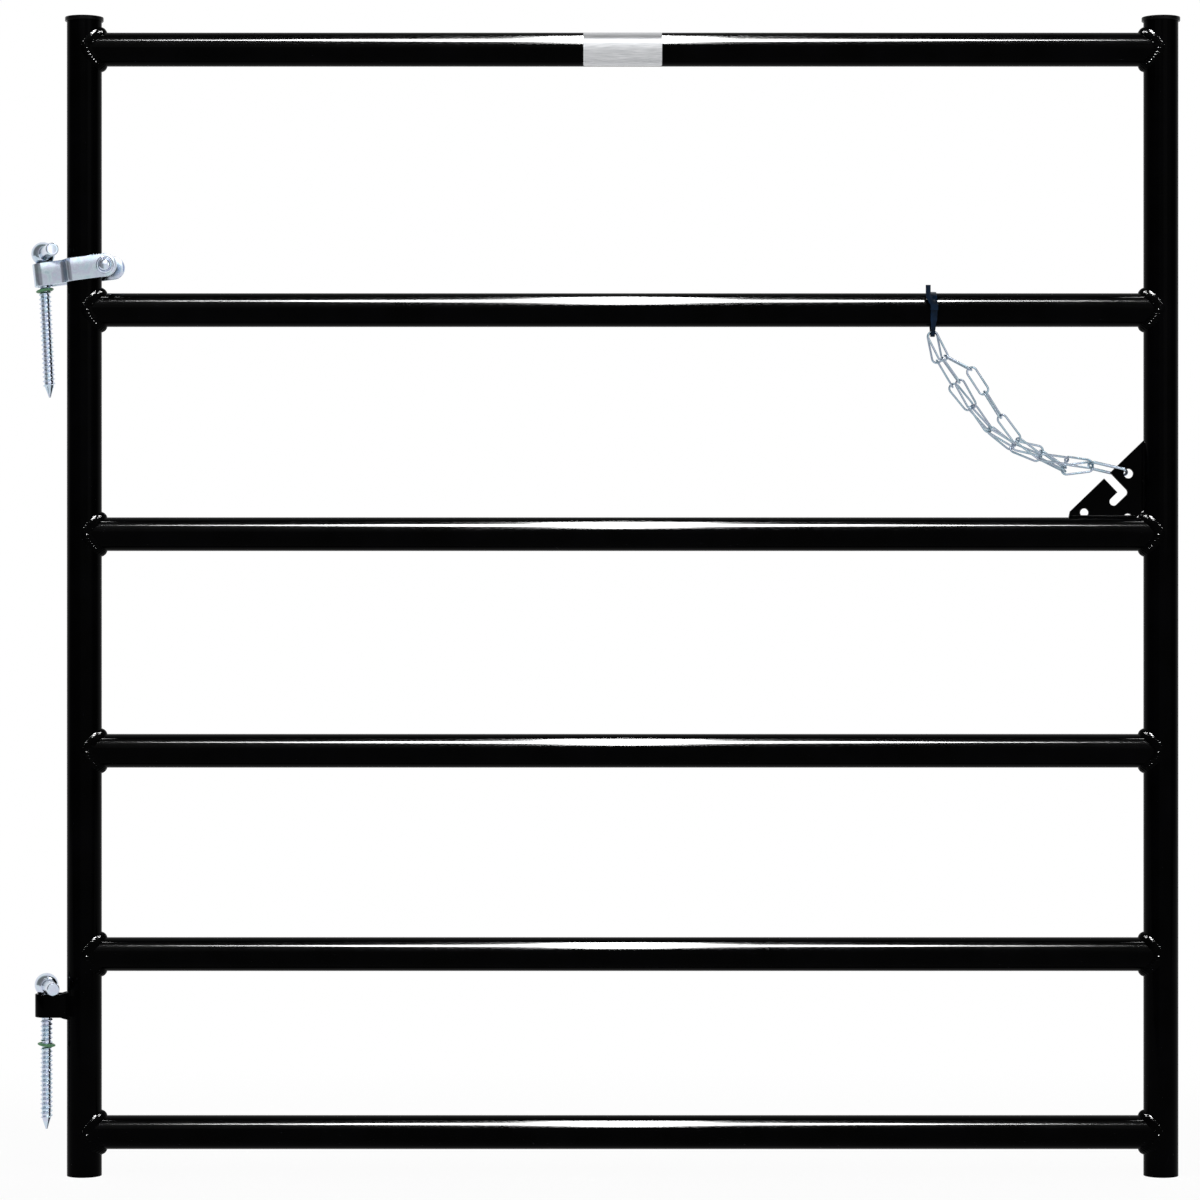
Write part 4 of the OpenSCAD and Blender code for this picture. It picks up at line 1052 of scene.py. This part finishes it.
# %% Lamp helpers
def lamp(name, at, target, size, radiance, oval=False):
    """Area lamp at a place in mm that faces its target: watts = radiance * pi * area.

    An oval lamp shows only as a reflection."""
    data = bpy.data.lights.new(name, "AREA")
    area = size[0] * size[1] * MM * MM * (math.pi / 4 if oval else 1)
    data.shape = "ELLIPSE" if oval else "RECTANGLE"
    data.size, data.size_y = size[0] * MM, size[1] * MM
    data.energy = radiance * math.pi * area
    made = bpy.data.objects.new(name, data)
    scene.collection.objects.link(made)
    made.location = Vector(at) * MM
    made.rotation_euler = (Vector(target) - Vector(at)).to_track_quat("-Z", "Y").to_euler()
    made.visible_diffuse = not oval
    made.visible_camera = False
    print(name, round(data.energy, 1), "W")
    return made


def light_only(lamp_object, finishes, dull=()):
    """Links a lamp to the pieces whose first finish is one of those given, not to dull ones."""
    group = bpy.data.collections.new(lamp_object.name + "_on")
    for made in scene.objects:
        dressed = made.type == "MESH" and made.data.materials
        if dressed and made.data.materials[0] in finishes and made.name not in dull:
            group.objects.link(made)
    lamp_object.light_linking.receiver_collection = group


print("lamp helpers ready")

# %% Lamps
LAMP_FAR, LAMP_RISE, LAMP_SIDE, LENS_LIGHT, MILD_LIGHT = 6000.0, 59, 68.0, 1800, 9
LENS = {"lens_long": (LAMP_RISE, 2600, 600), "lens_mid": (LAMP_RISE, 1900, 2100),
        "lens_deep": (66, 480, 7600)}
SIDES, SIDE_RISE, SIDE_SIZE = {"lens_left": -55, "lens_right": 55}, 45, (2600, 600)
MILD_SIZE = (2500, 1300)
SMALL_BEADS = ("plate_beads", "eye_beads")
gate_middle = np.array([centre_x, 0.0, FOOT_Z + CAMERA_UP])
below = gate_middle + LAMP_SIDE * x_axis


def up_from(target, azimuth, rise):
    """Place of a lamp, LAMP_FAR from its target; azimuth from the front, rise from level."""
    side, up = math.radians(azimuth), math.radians(rise)
    level = np.array([math.sin(side), -math.cos(side), 0]) * math.cos(up)
    return target + LAMP_FAR * (level + math.sin(up) * z_axis)


for name, (rise, *size) in LENS.items():
    lens = lamp(name, up_from(below, 0, rise), below, size, LENS_LIGHT, True)
    light_only(lens, [powder_coat], SMALL_BEADS)
for name, azimuth in SIDES.items():
    at = up_from(gate_middle, azimuth, SIDE_RISE)
    lens = lamp(name, at, gate_middle, SIDE_SIZE, LENS_LIGHT, True)
    light_only(lens, [powder_coat], SMALL_BEADS)
mild = lamp("mild_lamp", up_from(below, 0, LAMP_RISE), below, MILD_SIZE, MILD_LIGHT, True)
light_only(mild, [zinc, chain_zinc, green_plastic, tie_nylon, cap_plastic, foil])
lamp("soft_front", (centre_x - 900, -2600.0, FOOT_Z + 2400), gate_middle, (2200, 1600), 1.1)
lamp("soft_fill", (centre_x + 1500, -2400.0, FOOT_Z + 1500), gate_middle, (1200, 1600), 0.9)
